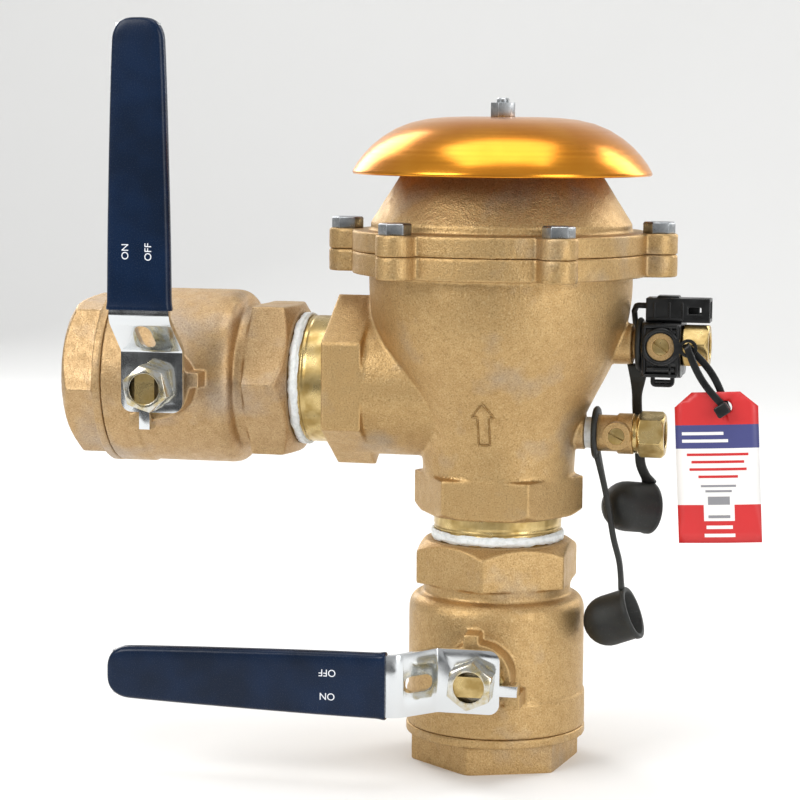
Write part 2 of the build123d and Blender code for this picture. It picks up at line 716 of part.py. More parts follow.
def cock_place(boss_end, gap, height):
    """Where a cock stands: its own frame starts at its shoulder, with the flow along +Z."""
    return Location((boss_end + gap, 0, height), (0, 90, 0))


def test_cock(name, place, gap, hex_turn, slot_turn):
    """A small ball valve with a slotted stem, made up in a body and a threaded end."""
    near_seat = cock_stem_at - cock_seat_inset
    far_seat = cock_stem_at + cock_seat_inset
    spigot_start = cock_joint - cock_spigot_length
    thread_start = -gap - cock_thread_length

    with BuildPart() as body:
        turned([(0, thread_start), (cock_thread_r, thread_start), (cock_thread_r, -gap),
                (cock_pipe_r, -gap), (cock_pipe_r, 0), (cock_body_r, 0), (cock_body_r, cock_step),
                (cock_waist_r, cock_step + 0.8), (cock_waist_r, cock_joint), (0, cock_joint)])
        post(cock_stem_plane, cock_boss_r, 0, cock_boss_top)
        bored(cock_port_r, thread_start, near_seat)
        bored(cock_seat_r, near_seat - cock_seat_length, near_seat)
        bored(cock_cavity_r, near_seat, spigot_start)
        bored(cock_spigot_r, spigot_start, cock_joint)
        post(cock_stem_plane, cock_collar_r + slack, 0, cock_collar_top + running, Mode.SUBTRACT)
        post(cock_stem_plane, cock_stem_r + running, 0, cock_boss_top, Mode.SUBTRACT)
    save(body.part, f"{name}_cock_body", place)

    with BuildPart() as end:
        turned([(0, spigot_start), (cock_spigot_r, spigot_start), (cock_spigot_r, cock_joint),
                (cock_neck_r, cock_joint), (cock_neck_r, cock_hex_start), (0, cock_hex_start)])
        hex_prism(cock_hex_af, cock_hex_start, cock_length, turn=hex_turn)
        corner_cut(cock_length, 1, cock_hex_face_r, cock_hex_corner_r, 1.6)
        corner_cut(cock_hex_start, -1, cock_hex_face_r, cock_hex_corner_r, 1.0)
        bored(cock_cavity_r, spigot_start, far_seat)
        bored(cock_seat_r, far_seat, far_seat + cock_seat_length)
        bored(cock_port_r, far_seat + cock_seat_length, cock_length)
        bored(cock_thread_r, cock_length - cock_thread_length, cock_length)
    save(end.part, f"{name}_cock_end", place)

    with BuildPart() as ball:
        with Locations((0, 0, cock_stem_at)):
            Sphere(cock_ball_r)
            Cylinder(cock_port_r, 3 * cock_ball_r, rotation=(0, 90, 0), mode=Mode.SUBTRACT)
        with BuildSketch(cock_stem_plane.offset(cock_tang_tip - slack)):
            Rectangle(cock_tang_width + 2 * slack, 2 * cock_ball_r)
        extrude(amount=cock_ball_r, mode=Mode.SUBTRACT)
    save(ball.part, f"{name}_cock_ball", place)

    with BuildPart() as seats:
        for floor in (near_seat - cock_seat_length, far_seat):
            top = floor + cock_seat_length
            turned([(cock_port_r, floor), (cock_seat_r, floor), (cock_seat_r, top),
                    (cock_port_r, top)])
        with Locations((0, 0, cock_stem_at)):
            Sphere(cock_ball_r + running, mode=Mode.SUBTRACT)
    save(seats.part, f"{name}_cock_seats", place)

    with BuildPart() as stem:
        with BuildSketch(cock_stem_plane.offset(cock_tang_tip)):
            Rectangle(cock_tang_width, cock_tang_length)
        extrude(amount=cock_ball_r + slack - cock_tang_tip)
        post(cock_stem_plane, cock_collar_r, cock_ball_r + slack, cock_collar_top)
        post(cock_stem_plane, cock_stem_r, cock_collar_top, cock_stem_tip)
        with BuildSketch(cock_stem_plane.offset(cock_stem_tip - slot_depth)):
            Rectangle(slot_width, 3 * cock_stem_r, rotation=slot_turn)
        extrude(amount=2 * slot_depth, mode=Mode.SUBTRACT)
    save(stem.part, f"{name}_cock_stem", place)


upper_place = cock_place(upper_boss_end, upper_cock_gap, upper_cock_z)
lower_place = cock_place(lower_boss_end, lower_cock_gap, lower_cock_z)
test_cock("upper", upper_place, upper_cock_gap, 24.0, -35.0)
test_cock("lower", lower_place, lower_cock_gap, 47.0, -25.0)

with BuildPart() as lower_cock_tape:
    turned([(cock_pipe_r, -lower_cock_gap), (cock_pipe_r + 0.4, -lower_cock_gap),
            (cock_pipe_r + 0.4, 0), (cock_pipe_r, 0)])
save(lower_cock_tape.part, "lower_cock_tape", lower_place)


# ---------------------------------------------------------------- rubber caps on their straps
def rubber_cap(name, ring_centre, strap, mouth, facing):
    """A moulded ring, strap and cap. The strap's points and the mouth are from the ring's centre."""
    facing = Vector(*facing).normalized()
    strap = [Vector(*ring_centre) + Vector(*point) for point in strap]
    mouth = Vector(*ring_centre) + Vector(*mouth)
    rim = Plane(origin=mouth, z_dir=facing)
    up = (Vector(0, 0, 1) - facing * facing.Z).normalized()
    rim_top = mouth + up * (cap_r - cap_wall / 2) - facing * 1.5
    x, y, z = ring_centre
    start = (x, y, z - (ring_r + cock_body_r) / 2)
    with BuildPart() as cap:
        post(Plane(origin=(x - ring_width / 2, y, z), z_dir=(1, 0, 0)), ring_r, 0, ring_width)
        with BuildLine() as path:
            FilletPolyline(start, *strap, rim_top, radius=strap_bend_r)
        with BuildSketch(Plane(origin=start, z_dir=path.line % 0)) as section:
            Circle(strap_r)
        sweep(section.sketch, path=path.line)
        post(rim, cap_r, cap_r - cap_length, 0)
        with Locations(rim.offset(cap_r - cap_length).location):
            Sphere(cap_r, arc_size1=-90, arc_size2=0)
        post(rim, cap_r - cap_wall, cap_r - cap_length, 0, Mode.SUBTRACT)
        with Locations(rim.offset(cap_r - cap_length).location):
            Sphere(cap_r - cap_wall, arc_size1=-90, arc_size2=0, mode=Mode.SUBTRACT)
        post(Plane(origin=(x - ring_width, y, z), z_dir=(1, 0, 0)), cock_body_r + slack, 0,
             2 * ring_width, Mode.SUBTRACT)
    save(cap.part, name)


upper_ring_x = upper_boss_end + upper_cock_gap + 0.2 + ring_width / 2
lower_ring_x = lower_boss_end + lower_cock_gap + 0.2 + ring_width / 2
rubber_cap("upper_cap", (upper_ring_x, 0, upper_cock_z),
           [(-1.2, 3, -16.5), (-2.6, 12, -27.5), (-2.0, 14.5, -43.5), (-0.7, 15.5, -56.5)],
           (3.4, 22, -80.0), (0.80, 0.58, -0.12))
rubber_cap("lower_cap", (lower_ring_x, 0, lower_cock_z),
           [(2.1, -0.3, -16.5), (5.7, -1.2, -31.5), (9.1, -3, -48.5)],
           (20.2, -9, -82.5), (0.93, -0.08, 0.36))

# ---------------------------------------------------------------- sensor clamp
upper_x = upper_boss_end + upper_cock_gap
sensor_start = upper_ring_x + ring_width / 2 + 0.5
sensor_end = upper_x + cock_hex_start - 0.3
sensor_middle = (sensor_start + sensor_end) / 2
sensor_span = sensor_end - sensor_start
stem_x = upper_x + cock_stem_at

# The tie runs from the ear's hole to the tag's hole.
pivot = Vector(sensor_end + ear_reach, ear_y, upper_cock_z)
tag_hole = pivot + Vector(17.5, 0, -26.3)
hang = tag_hole - pivot
tie_face = Plane(origin=pivot, x_dir=hang, z_dir=(0, -1, 0))


def clamp_half(near, far):
    """A block around the cock, from one depth to another along Y."""
    with Locations((sensor_middle, (near + far) / 2, (sensor_bottom + sensor_top) / 2)):
        Box(sensor_span, abs(far - near), sensor_top - sensor_bottom)


with BuildPart() as sensor_front_half:
    clamp_half(-sensor_front, 0)
    fillet(sensor_front_half.faces().sort_by(Axis.Y)[0].edges().filter_by(Axis.X), 4)
    post(Plane(origin=(stem_x, 0, upper_cock_z), z_dir=(0, -1, 0)), sensor_ring_r, 0,
         cock_boss_top + 0.6)
    with Locations((sensor_end - 1.5, ear_y + 1.2, upper_cock_z)):
        Box(3, 4, 8)
    with Locations((sensor_end + ear_reach / 2 - 1.5, ear_y, upper_cock_z)):
        Box(ear_reach, ear_thickness, 5)
    post(tie_face, tie_hole_r + 1.5, -ear_thickness / 2, ear_thickness / 2)
    post(tie_face, tie_hole_r, -ear_thickness, ear_thickness, Mode.SUBTRACT)
    post(Plane(origin=(upper_x, 0, upper_cock_z), z_dir=(1, 0, 0)), cock_waist_r + slack, 0,
         cock_length, Mode.SUBTRACT)
    post(Plane(origin=(stem_x, 0, upper_cock_z), z_dir=(0, -1, 0)), cock_boss_r + slack, 0,
         2 * cock_boss_top, Mode.SUBTRACT)
save(sensor_front_half.part, "sensor_clamp_front")

with BuildPart() as sensor_back_half:
    clamp_half(0, sensor_back)
    fillet(sensor_back_half.faces().sort_by(Axis.Y)[-1].edges().filter_by(Axis.X), 4)
    post(Plane(origin=(upper_x, 0, upper_cock_z), z_dir=(1, 0, 0)), cock_waist_r + slack, 0,
         cock_length, Mode.SUBTRACT)
save(sensor_back_half.part, "sensor_clamp_back")

with BuildPart() as sensor_latch:
    with Locations((sensor_middle, -1.0, sensor_bottom - 2.5)):
        Box(11.0, 12.0, 5.0)
        Box(7.0, 8.0, 5.0, mode=Mode.SUBTRACT)
    fillet(sensor_latch.edges().filter_by(Axis.Z), 1.2)
save(sensor_latch.part, "sensor_latch")

connector_start = sensor_start + 1.2
connector_end = connector_start + connector_length
connector_z = sensor_top + connector_height / 2
with BuildPart() as connector:
    with Locations(((connector_start + connector_end) / 2, -1.0, connector_z)):
        Box(connector_length, connector_width, connector_height)
    with Locations((connector_end, -1.0, connector_z)):
        Box(2 * 9.0, connector_width - 3.2, connector_height - 3.2, mode=Mode.SUBTRACT)
    with Locations((connector_end - 7.0, -1.0, connector_z)):
        Box(6.0, 2 * connector_width, 3.0, mode=Mode.SUBTRACT)
    with Locations((connector_start + 10.0, -1.0, sensor_top + connector_height + 0.5)):
        Box(10.0, 8.0, 1.0)
save(connector.part, "sensor_connector")

cable_route = [(connector_start, 0, connector_z + 1.5), (sensor_start - 3.8, 0, connector_z + 1.5),
               (sensor_start - 5.4, 4.5, connector_z - 1.5),
               (sensor_start - 5.5, 12.0, connector_z - 9.0),
               (sensor_start - 4.4, 14.2, connector_z - 14.5),
               (sensor_start, 14.2, connector_z - 14.5)]
with BuildPart() as cable:
    with BuildLine() as route:
        FilletPolyline(*cable_route, radius=1.6)
    with BuildSketch(Plane(origin=cable_route[0], z_dir=route.line % 0)) as section:
        Circle(cable_r)
    sweep(section.sketch, path=route.line)
save(cable.part, "sensor_cable")

# ---------------------------------------------------------------- cable tie and hang tag
loop_length = hang.length + tie_thickness
loop_front = 2.4            # from the tag's plane to the middle of the front run
loop_back = 2.0
loop_depth = loop_front + loop_back + tie_thickness
tie_side = Plane(origin=pivot, x_dir=hang, z_dir=hang.cross(Vector(0, 1, 0)))
with BuildPart() as tie:
    with BuildSketch(tie_side.offset(-tie_width / 2)):
        with Locations((hang.length / 2, (loop_back - loop_front) / 2)):
            RectangleRounded(loop_length, loop_depth, loop_depth / 2 - 0.1)
            RectangleRounded(loop_length - 2 * tie_thickness, loop_depth - 2 * tie_thickness,
                             loop_depth / 2 - 0.1 - tie_thickness, mode=Mode.SUBTRACT)
    extrude(amount=tie_width)
    with BuildSketch(tie_face.offset(loop_front)):
        with Locations((hang.length - 6.0, 0)):
            Rectangle(6.0, 7.0)
    extrude(amount=4.6)
save(tie.part, "cable_tie")

tag_turn = 3.0
tag_shoulder = 8.0
tag_drop = 6.8
tag_hole_r = 3.0
tag_hole_across = 4.2       # the hole's place, right of the tag's middle and below its top
tag_hole_down = 7.0
tag_lean = math.radians(tag_turn)
tag_plane = Plane(origin=tag_hole, x_dir=(math.cos(tag_lean), 0, math.sin(tag_lean)),
                  z_dir=(0, -1, 0))
with BuildPart() as tag:
    with BuildSketch(tag_plane.offset(-tag_thickness / 2)):
        with BuildLine():
            left = -tag_hole_across - tag_width / 2
            right = left + tag_width
            top = tag_hole_down
            Polyline((left + tag_shoulder, top), (right - tag_shoulder, top),
                     (right, top - tag_drop), (right, top - tag_height), (left, top - tag_height),
                     (left, top - tag_drop), close=True)
        make_face()
        Circle(tag_hole_r, mode=Mode.SUBTRACT)
    extrude(amount=tag_thickness)
save(tag.part, "hang_tag")
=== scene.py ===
import json
import math

import bmesh
import bpy
import numpy as np
from mathutils import Matrix, Vector, noise


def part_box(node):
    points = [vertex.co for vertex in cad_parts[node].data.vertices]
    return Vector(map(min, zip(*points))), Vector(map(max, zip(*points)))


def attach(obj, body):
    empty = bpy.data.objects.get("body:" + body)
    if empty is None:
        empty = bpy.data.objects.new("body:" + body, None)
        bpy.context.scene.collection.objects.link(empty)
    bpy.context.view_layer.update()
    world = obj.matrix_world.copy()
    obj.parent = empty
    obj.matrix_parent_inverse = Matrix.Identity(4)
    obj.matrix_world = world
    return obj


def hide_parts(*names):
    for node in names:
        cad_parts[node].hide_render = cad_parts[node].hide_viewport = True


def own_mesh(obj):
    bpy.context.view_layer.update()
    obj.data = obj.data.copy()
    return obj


# Looks for a two-inch pressure vacuum breaker. Lengths here are metres, as the frame gives them,
# and MM turns a millimetre into one.
MM = 0.001

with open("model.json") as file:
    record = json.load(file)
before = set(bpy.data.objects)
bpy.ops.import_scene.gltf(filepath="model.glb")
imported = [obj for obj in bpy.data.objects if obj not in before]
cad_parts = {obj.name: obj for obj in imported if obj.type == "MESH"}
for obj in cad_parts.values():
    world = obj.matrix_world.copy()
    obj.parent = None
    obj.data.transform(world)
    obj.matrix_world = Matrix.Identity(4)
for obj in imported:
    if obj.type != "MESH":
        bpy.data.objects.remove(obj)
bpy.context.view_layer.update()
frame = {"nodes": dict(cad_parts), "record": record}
record = frame["record"]
joints = {joint["name"]: joint for joint in record["behaviour"]["joints"]}
mounts = {mount["name"]: mount for mount in record["mounts"]}
body_with = {node: body for body, nodes in record["behaviour"]["bodies"].items()
             for node in nodes}
slot_of = {row["node"]: row["material_slot"] for row in record["subparts"]}

RIGHT, FRONT, BACK, UP = Vector((1, 0, 0)), Vector((0, -1, 0)), Vector((0, 1, 0)), Vector((0, 0, 1))


# ------------------------------------------------------------------ material tools
def linear(code):
    """A #RRGGBB screen colour as the linear RGBA that shaders work in."""
    levels = [int(code[i:i + 2], 16) / 255 for i in (1, 3, 5)]
    return (*[v / 12.92 if v <= 0.04045 else ((v + 0.055) / 1.055) ** 2.4 for v in levels], 1.0)


def add(tree, kind, inputs=None, **settings):
    """Add a node. Each input, by name or number, is a value or the socket that feeds it."""
    made = tree.nodes.new(kind)
    for key, value in settings.items():
        setattr(made, key, value)
    for key, value in (inputs or {}).items():
        if isinstance(value, bpy.types.NodeSocket):
            tree.links.new(value, made.inputs[key])
        else:
            made.inputs[key].default_value = value
    return made


# Mix nodes set to colour number their sockets: 6 and 7 are the two colours, output 2 the result.
A, B, RESULT = 6, 7, 2
# Map Range nodes number theirs: 1 and 2 are the levels read, 3 and 4 the values given back.
LOW, HIGH, START, END = 1, 2, 3, 4


def started(name, colour, grains=None, **sockets):
    """A material with its constant sockets set, its node tree and its patterns by name. A grain
    is noise in the object's own space: the size of its lumps in millimetres, and its detail."""
    material = bpy.data.materials.new(name)
    material.use_nodes = True
    material.diffuse_color = linear(colour)
    tree = material.node_tree
    shader = tree.nodes["Principled BSDF"]
    shader.inputs["Base Color"].default_value = linear(colour)
    for key, value in sockets.items():
        shader.inputs[key.replace("_", " ")].default_value = value
    seen = {"where": add(tree, "ShaderNodeTexCoord").outputs["Object"]}
    for label, (size, detail) in (grains or {}).items():
        seen[label] = add(tree, "ShaderNodeTexNoise", {
            "Vector": seen["where"], "Scale": 1 / (size * MM), "Detail": detail}).outputs[0]
    return material, tree, seen


def surfaced(tree, seen, base=None, tints=(), gloss=None, bumps=()):
    """Feed a shader from its patterns. Each tint (pattern, low, high, share, colour) covers the
    colours before it, up to share, as its pattern goes from low to high. gloss (pattern, low,
    high, roughness at each) sets the roughness, and each bump is (pattern, height in mm)."""
    shader = tree.nodes["Principled BSDF"]
    colour = base
    for label, low, high, share, over in tints:
        amount = add(tree, "ShaderNodeMapRange", {
            "Value": seen[label], LOW: low, HIGH: high, START: 0.0, END: share}).outputs[0]
        colour = add(tree, "ShaderNodeMix", {0: amount, A: colour, B: over},
                     data_type="RGBA").outputs[RESULT]
    if tints:
        tree.links.new(colour, shader.inputs["Base Color"])
    if gloss:
        label, low, high, start, end = gloss
        spread = add(tree, "ShaderNodeMapRange", {
            "Value": seen[label], LOW: low, HIGH: high, START: start, END: end}).outputs[0]
        tree.links.new(spread, shader.inputs["Roughness"])
    inputs = {}
    for label, height in bumps:
        inputs.update({"Height": seen[label], "Distance": height * MM})
        inputs["Normal"] = add(tree, "ShaderNodeBump", inputs).outputs[0]
    if bumps:
        tree.links.new(inputs["Normal"], shader.inputs["Normal"])


# ------------------------------------------------------------------ materials
def sand_cast_bronze(name, tan, gold, oxide, oxide_share):
    """Bronze as it leaves a sand mould and the shot blaster: matt grainy tan metal, speckled,
    brighter on its rubbed outward edges, with patches of greyish oxide."""
    material, tree, seen = started(name, tan, {
        "cloud": (28, 4.0), "mottle": (5, 4.0), "grit": (0.7, 3.0), "pits": (2.2, 2.0)},
        Metallic=0.88)
    seen["edges"] = add(tree, "ShaderNodeNewGeometry").outputs["Pointiness"]
    surfaced(tree, seen, linear(tan),
             (("mottle", 0.2, 0.8, 1.0, linear(gold)),
              ("cloud", 0.6 - oxide_share, 0.78 - oxide_share, 0.6, linear(oxide)),
              ("grit", 0.54, 0.72, 0.4, linear("#E2CDA2")),
              ("grit", 0.46, 0.3, 0.5, linear("#7A6038")),
              ("edges", 0.53, 0.66, 1.0, linear("#DCC08C"))),
             ("mottle", 0.3, 0.7, 0.54, 0.4),
             (("mottle", 0.1), ("pits", 0.12), ("grit", 0.2)))
    return material


def turned_brass():
    """Brass turned on a lathe: bright yellow metal with fine tool marks."""
    material, tree, seen = started("turned_brass", "#CBB077", {"stain": (6, 3.0)}, Metallic=1.0)
    drawn_out = add(tree, "ShaderNodeMapping",
                    {"Vector": seen["where"], "Scale": (1, 0.08, 1)}).outputs[0]
    seen["marks"] = add(tree, "ShaderNodeTexNoise", {
        "Vector": drawn_out, "Scale": 1 / (0.35 * MM), "Detail": 1.0}).outputs[0]
    surfaced(tree, seen, linear("#CFB67E"), (("stain", 0.4, 0.65, 1.0, linear("#AD9158")),),
             ("stain", 0.3, 0.7, 0.24, 0.38), (("marks", 0.03),))
    return material


def chromed_steel():
    """Pressed steel strip with bright chrome plate: a mirror with faint smears and ripples."""
    material, tree, seen = started("chromed_steel", "#DCDFE1",
                                   {"smear": (9, 3.0), "ripple": (14, 1.0)}, Metallic=1.0)
    surfaced(tree, seen, gloss=("smear", 0.35, 0.7, 0.09, 0.2), bumps=(("ripple", 0.25),))
    return material


def zinc_plated_nut():
    """Zinc plate with a clear yellowish passivation: silvery, slightly warm, satin."""
    material, tree, seen = started("zinc_plated_nut", "#CFC9B4",
                                   {"tint": (4, 3.0), "crystals": (0.6, 2.0)}, Metallic=1.0)
    surfaced(tree, seen, linear("#D3D2CB"), (("tint", 0.4, 0.65, 1.0, linear("#C2B286")),),
             ("tint", 0.3, 0.7, 0.16, 0.3), (("crystals", 0.02),))
    return material


def stainless_fastener():
    """Cold-headed stainless steel: grey satin metal with a patchy dullness."""
    material, tree, seen = started("stainless_fastener", "#9CA0A4",
                                   {"stain": (3, 3.0), "die_marks": (0.5, 2.0)}, Metallic=1.0)
    surfaced(tree, seen, linear("#A7AAAC"), (("stain", 0.4, 0.66, 1.0, linear("#8A8E91")),),
             ("stain", 0.3, 0.7, 0.24, 0.42), (("die_marks", 0.03),))
    return material


def gold_anodised_aluminium():
    """A spun aluminium dome dyed orange gold: smooth satin metal with faint rings from spinning,
    drawn coarser than the real ones so that they show."""
    material, tree, seen = started("gold_anodised_aluminium", "#E79A33", {"cloud": (30, 2.0)},
                                   Metallic=1.0)
    flat = add(tree, "ShaderNodeVectorMath", {0: seen["where"], 1: (1, 1, 0)},
               operation="MULTIPLY")
    radius = add(tree, "ShaderNodeVectorMath", {0: flat.outputs[0]}, operation="LENGTH")
    seen["rings"] = add(tree, "ShaderNodeTexNoise", {
        "W": radius.outputs["Value"], "Scale": 1 / (1.2 * MM)}, noise_dimensions="1D").outputs[0]
    surfaced(tree, seen, linear("#E79B35"), (("cloud", 0.35, 0.65, 1.0, linear("#DC8C2A")),),
             ("rings", 0.3, 0.7, 0.2, 0.27), (("rings", 0.012),))
    return material


def dipped_vinyl():
    """Vinyl dip-moulded over the lever: thick glossy navy skin with a fine pebble."""
    material, tree, seen = started("dipped_vinyl", "#051A33",
                                   {"pebble": (0.5, 2.0), "cloud": (22, 2.0)},
                                   IOR=1.45, Specular_IOR_Level=0.3)
    surfaced(tree, seen, linear("#03152B"), (("cloud", 0.35, 0.65, 1.0, linear("#071E3A")),),
             ("pebble", 0.3, 0.7, 0.20, 0.30), (("pebble", 0.04), ("cloud", 0.3)))
    return material


def ptfe_tape():
    """Stretched PTFE sealing tape: soft matt white film with fibrous creases."""
    material, tree, seen = started("ptfe_tape", "#F1F1EC", {"creases": (2.6, 3.0)},
                                   IOR=1.35, Subsurface_Weight=0.15, Roughness=0.55)
    surfaced(tree, seen, linear("#E4E5E0"), (("creases", 0.3, 0.55, 1.0, linear("#F9F9F6")),),
             bumps=(("creases", 0.1),))
    return material


def moulded_rubber(name, dark, bloom):
    """Moulded EPDM: dull black with a greenish-grey bloom and fine dust."""
    material, tree, seen = started(name, dark, {"cloud": (7, 4.0), "dust": (0.8, 2.0)}, IOR=1.5)
    surfaced(tree, seen, linear(dark),
             (("cloud", 0.35, 0.7, 1.0, linear(bloom)),
              ("dust", 0.64, 0.76, 0.25, linear("#5E605A"))),
             ("cloud", 0.3, 0.7, 0.5, 0.7), (("dust", 0.06),))
    return material


def moulded_nylon():
    """Injection-moulded black nylon: satin, with the mould's spark-eroded grain."""
    material, tree, seen = started("moulded_nylon", "#0A0B0B",
                                   {"spark": (0.35, 2.0), "cloud": (6, 3.0)}, IOR=1.5)
    surfaced(tree, seen, linear("#070808"), (("cloud", 0.35, 0.68, 1.0, linear("#131415")),),
             ("cloud", 0.3, 0.7, 0.26, 0.38), (("spark", 0.03),))
    return material


def turned_acetal():
    """Natural acetal: waxy off-white plastic with faint flow marks."""
    material, tree, seen = started("turned_acetal", "#DEDCD2", {"flow": (8, 3.0)},
                                   IOR=1.48, Subsurface_Weight=0.1)
    surfaced(tree, seen, linear("#E4E2D9"), (("flow", 0.35, 0.65, 1.0, linear("#CFCCC0")),),
             ("flow", 0.3, 0.7, 0.34, 0.46))
    return material


def drawn_spring_wire():
    """Drawn stainless wire: fine die lines, slightly darkened from coiling."""
    material, tree, seen = started("drawn_spring_wire", "#A6A9AB", {"lines": (0.3, 2.0)},
                                   Metallic=1.0)
    surfaced(tree, seen, gloss=("lines", 0.3, 0.7, 0.25, 0.4), bumps=(("lines", 0.02),))
    return material


def laminated_print(name, ink):
    """Card printed in one flat ink and laminated: even colour, slight paper tooth, soft gloss."""
    material, tree, seen = started(name, ink, {"fibre": (0.6, 3.0), "cloud": (18, 2.0)},
                                   IOR=1.5, Coat_Weight=0.3, Coat_Roughness=0.25)
    full = linear(ink)
    thin = (*[0.93 * level for level in full[:3]], 1.0)
    surfaced(tree, seen, full, (("cloud", 0.3, 0.7, 1.0, thin),),
             ("fibre", 0.3, 0.7, 0.42, 0.52), (("fibre", 0.02),))
    return material


bronze = sand_cast_bronze("sand_cast_bronze", "#B99866", "#C4A371", "#A99D8E", 0.03)
pale_bronze = sand_cast_bronze("sand_cast_bronze_oxidised", "#B5956A", "#C1A278", "#ADA196", 0.09)
brass = turned_brass()
rubber = moulded_rubber("moulded_rubber", "#131413", "#252723")
nylon = moulded_nylon()
card = laminated_print("laminated_white_card", "#F4F2EF")
# The arrow's bronze is darker than the bowl's: painted shade that stands for the shadow along the
# raised line.
arrow_bronze_painted_shade = sand_cast_bronze("sand_cast_bronze_raised_line_painted_shade",
                                "#8A6B40", "#9A7A4A", "#8A6B40", 0.0)
red_print = laminated_print("laminated_red_print", "#CF2224")
violet_print = laminated_print("laminated_violet_print", "#42467F")
grey_print = laminated_print("laminated_grey_print", "#8F8F93")
white_ink = laminated_print("pad_printed_white_ink", "#E9ECF2")

materials = {
    "cast_bronze": bronze,
    "turned_brass": brass,
    "chromed_steel": chromed_steel(),
    "plated_nut": zinc_plated_nut(),
    "stainless": stainless_fastener(),
    "anodised_aluminium": gold_anodised_aluminium(),
    "vinyl_grip": dipped_vinyl(),
    "ptfe": ptfe_tape(),
    "rubber": rubber,
    "nylon_black": nylon,
    "acetal": turned_acetal(),
    "spring_steel": drawn_spring_wire(),
    "card": card,
    "cable_jacket": moulded_rubber("cable_jacket", "#151616", "#232524"),
}


def node_material(node):
    """The material of a node: the outlet valve's castings came from a paler batch."""
    if slot_of[node] == "cast_bronze" and node.startswith("outlet"):
        return pale_bronze
    return materials[slot_of[node]]


for node_name, node_object in frame["nodes"].items():
    node_object.data.materials.clear()
    node_object.data.materials.append(node_material(node_name))


# ------------------------------------------------------------------ mesh tools
def corners(node):
    """A node's lowest and highest corners at rest."""
    return [Vector(corner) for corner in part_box(node)]


def placed(name, data):
    """A new object in the scene, from its mesh or other data."""
    made = bpy.data.objects.new(name, data)
    bpy.context.scene.collection.objects.link(made)
    return made


def copy_of(node, label):
    """A free copy of a node's own shape."""
    return placed(f"{node}_{label}", frame["nodes"][node].data.copy())


def shade(thing, smooth=True):
    for polygon in thing.data.polygons:
        polygon.use_smooth = smooth


def mesh_object(name, points, faces, smooth=True):
    """An object from points in metres and faces that index them."""
    mesh = bpy.data.meshes.new(name)
    mesh.from_pydata([tuple(point) for point in points], [], faces)
    shell = bmesh.new()
    shell.from_mesh(mesh)
    bmesh.ops.recalc_face_normals(shell, faces=shell.faces)
    shell.to_mesh(mesh)
    shell.free()
    made = placed(name, mesh)
    shade(made, smooth)
    return made


def apply_modifiers(thing):
    """Bake an object's modifiers into its mesh."""
    seen = thing.evaluated_get(bpy.context.evaluated_depsgraph_get())
    mesh = bpy.data.meshes.new_from_object(seen)
    thing.modifiers.clear()
    old = thing.data
    thing.data = mesh
    bpy.data.meshes.remove(old)


def finished(thing, material, node, replaces=True):
    """Give a piece its finish and tie it to its node's body. It stands for the node, unless it
    is only detail on it."""
    if not thing.data.materials:
        thing.data.materials.append(material)
    if replaces:
        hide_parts(node)
    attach(thing, body_with[node])
    return thing


def loft(rings, looped=False):
    """Points and faces of a skin through rings of equal length, with flat ends. looped joins
    the last ring to the first instead."""
    count = len(rings[0])
    points = [point for ring in rings for point in ring]
    faces = []
    spans = len(rings) if looped else len(rings) - 1
    for row in range(spans):
        near, far = row * count, (row + 1) % len(rings) * count
        for i in range(count):
            j = (i + 1) % count
            faces.append((near + i, near + j, far + j, far + i))
    if not looped:
        faces.append(tuple(range(count)))
        faces.append(tuple(range((len(rings) - 1) * count, len(rings) * count)))
    return points, faces


def rounded_box_ring(centre, across, out, width, height, radius, steps=4):
    """A rounded rectangle as a ring of points, about a centre, on two directions."""
    ring = []
    least_flat = 0.01 * MM
    radius = min(radius, width / 2 - least_flat, height / 2 - least_flat)
    for corner, (sx, sy) in enumerate(((1, 1), (-1, 1), (-1, -1), (1, -1))):
        for step in range(steps + 1):
            angle = math.radians(90 * corner + 90 * step / steps)
            x = sx * (width / 2 - radius) + radius * math.cos(angle)
            y = sy * (height / 2 - radius) + radius * math.sin(angle)
            ring.append(centre + across * x + out * y)
    return ring


def lathe(profile, origin, axis, reference, steps):
    """Turn (radius, height) pairs about an axis, into one ring each."""
    side = reference - axis * reference.dot(axis)
    side.normalize()
    other = axis.cross(side)
    rings = []
    for radius, height in profile:
        angles = [2 * math.pi * step / steps for step in range(steps)]
        rings.append([origin + axis * height
                      + (side * math.cos(angle) + other * math.sin(angle)) * radius
                      for angle in angles])
    return rings


def smooth_route(points, count):
    """Points spread evenly along a smooth curve through the given ones."""
    per_span = 24
    points = [Vector(point) for point in points]
    padded = [2 * points[0] - points[1]] + points + [2 * points[-1] - points[-2]]
    dense = []
    for k in range(1, len(padded) - 2):
        p0, p1, p2, p3 = padded[k - 1:k + 3]
        for step in range(per_span):
            t = step / per_span
            dense.append(0.5 * (2 * p1 + (p2 - p0) * t + (2 * p0 - 5 * p1 + 4 * p2 - p3) * t * t
                                + (3 * p1 - p0 - 3 * p2 + p3) * t ** 3))
    dense.append(points[-1])
    lengths = [0.0]
    for a, b in zip(dense, dense[1:]):
        lengths.append(lengths[-1] + (b - a).length)
    return [Vector([np.interp(lengths[-1] * i / (count - 1), lengths, [p[c] for p in dense])
                    for c in range(3)]) for i in range(count)]


def bar_along(route, flat_side, width, height, radius):
    """Rings of a rounded flat bar that follows a route, its wide side along flat_side. width
    is a function of how far along the route a ring is, from 0 to 1."""
    rings = []
    for i, point in enumerate(route):
        ahead = (route[min(i + 1, len(route) - 1)] - route[max(i - 1, 0)]).normalized()
        across = (flat_side - ahead * flat_side.dot(ahead)).normalized()
        wide = width(i / (len(route) - 1))
        rings.append(rounded_box_ring(point, across, ahead.cross(across), wide, height, radius, 3))
    return rings


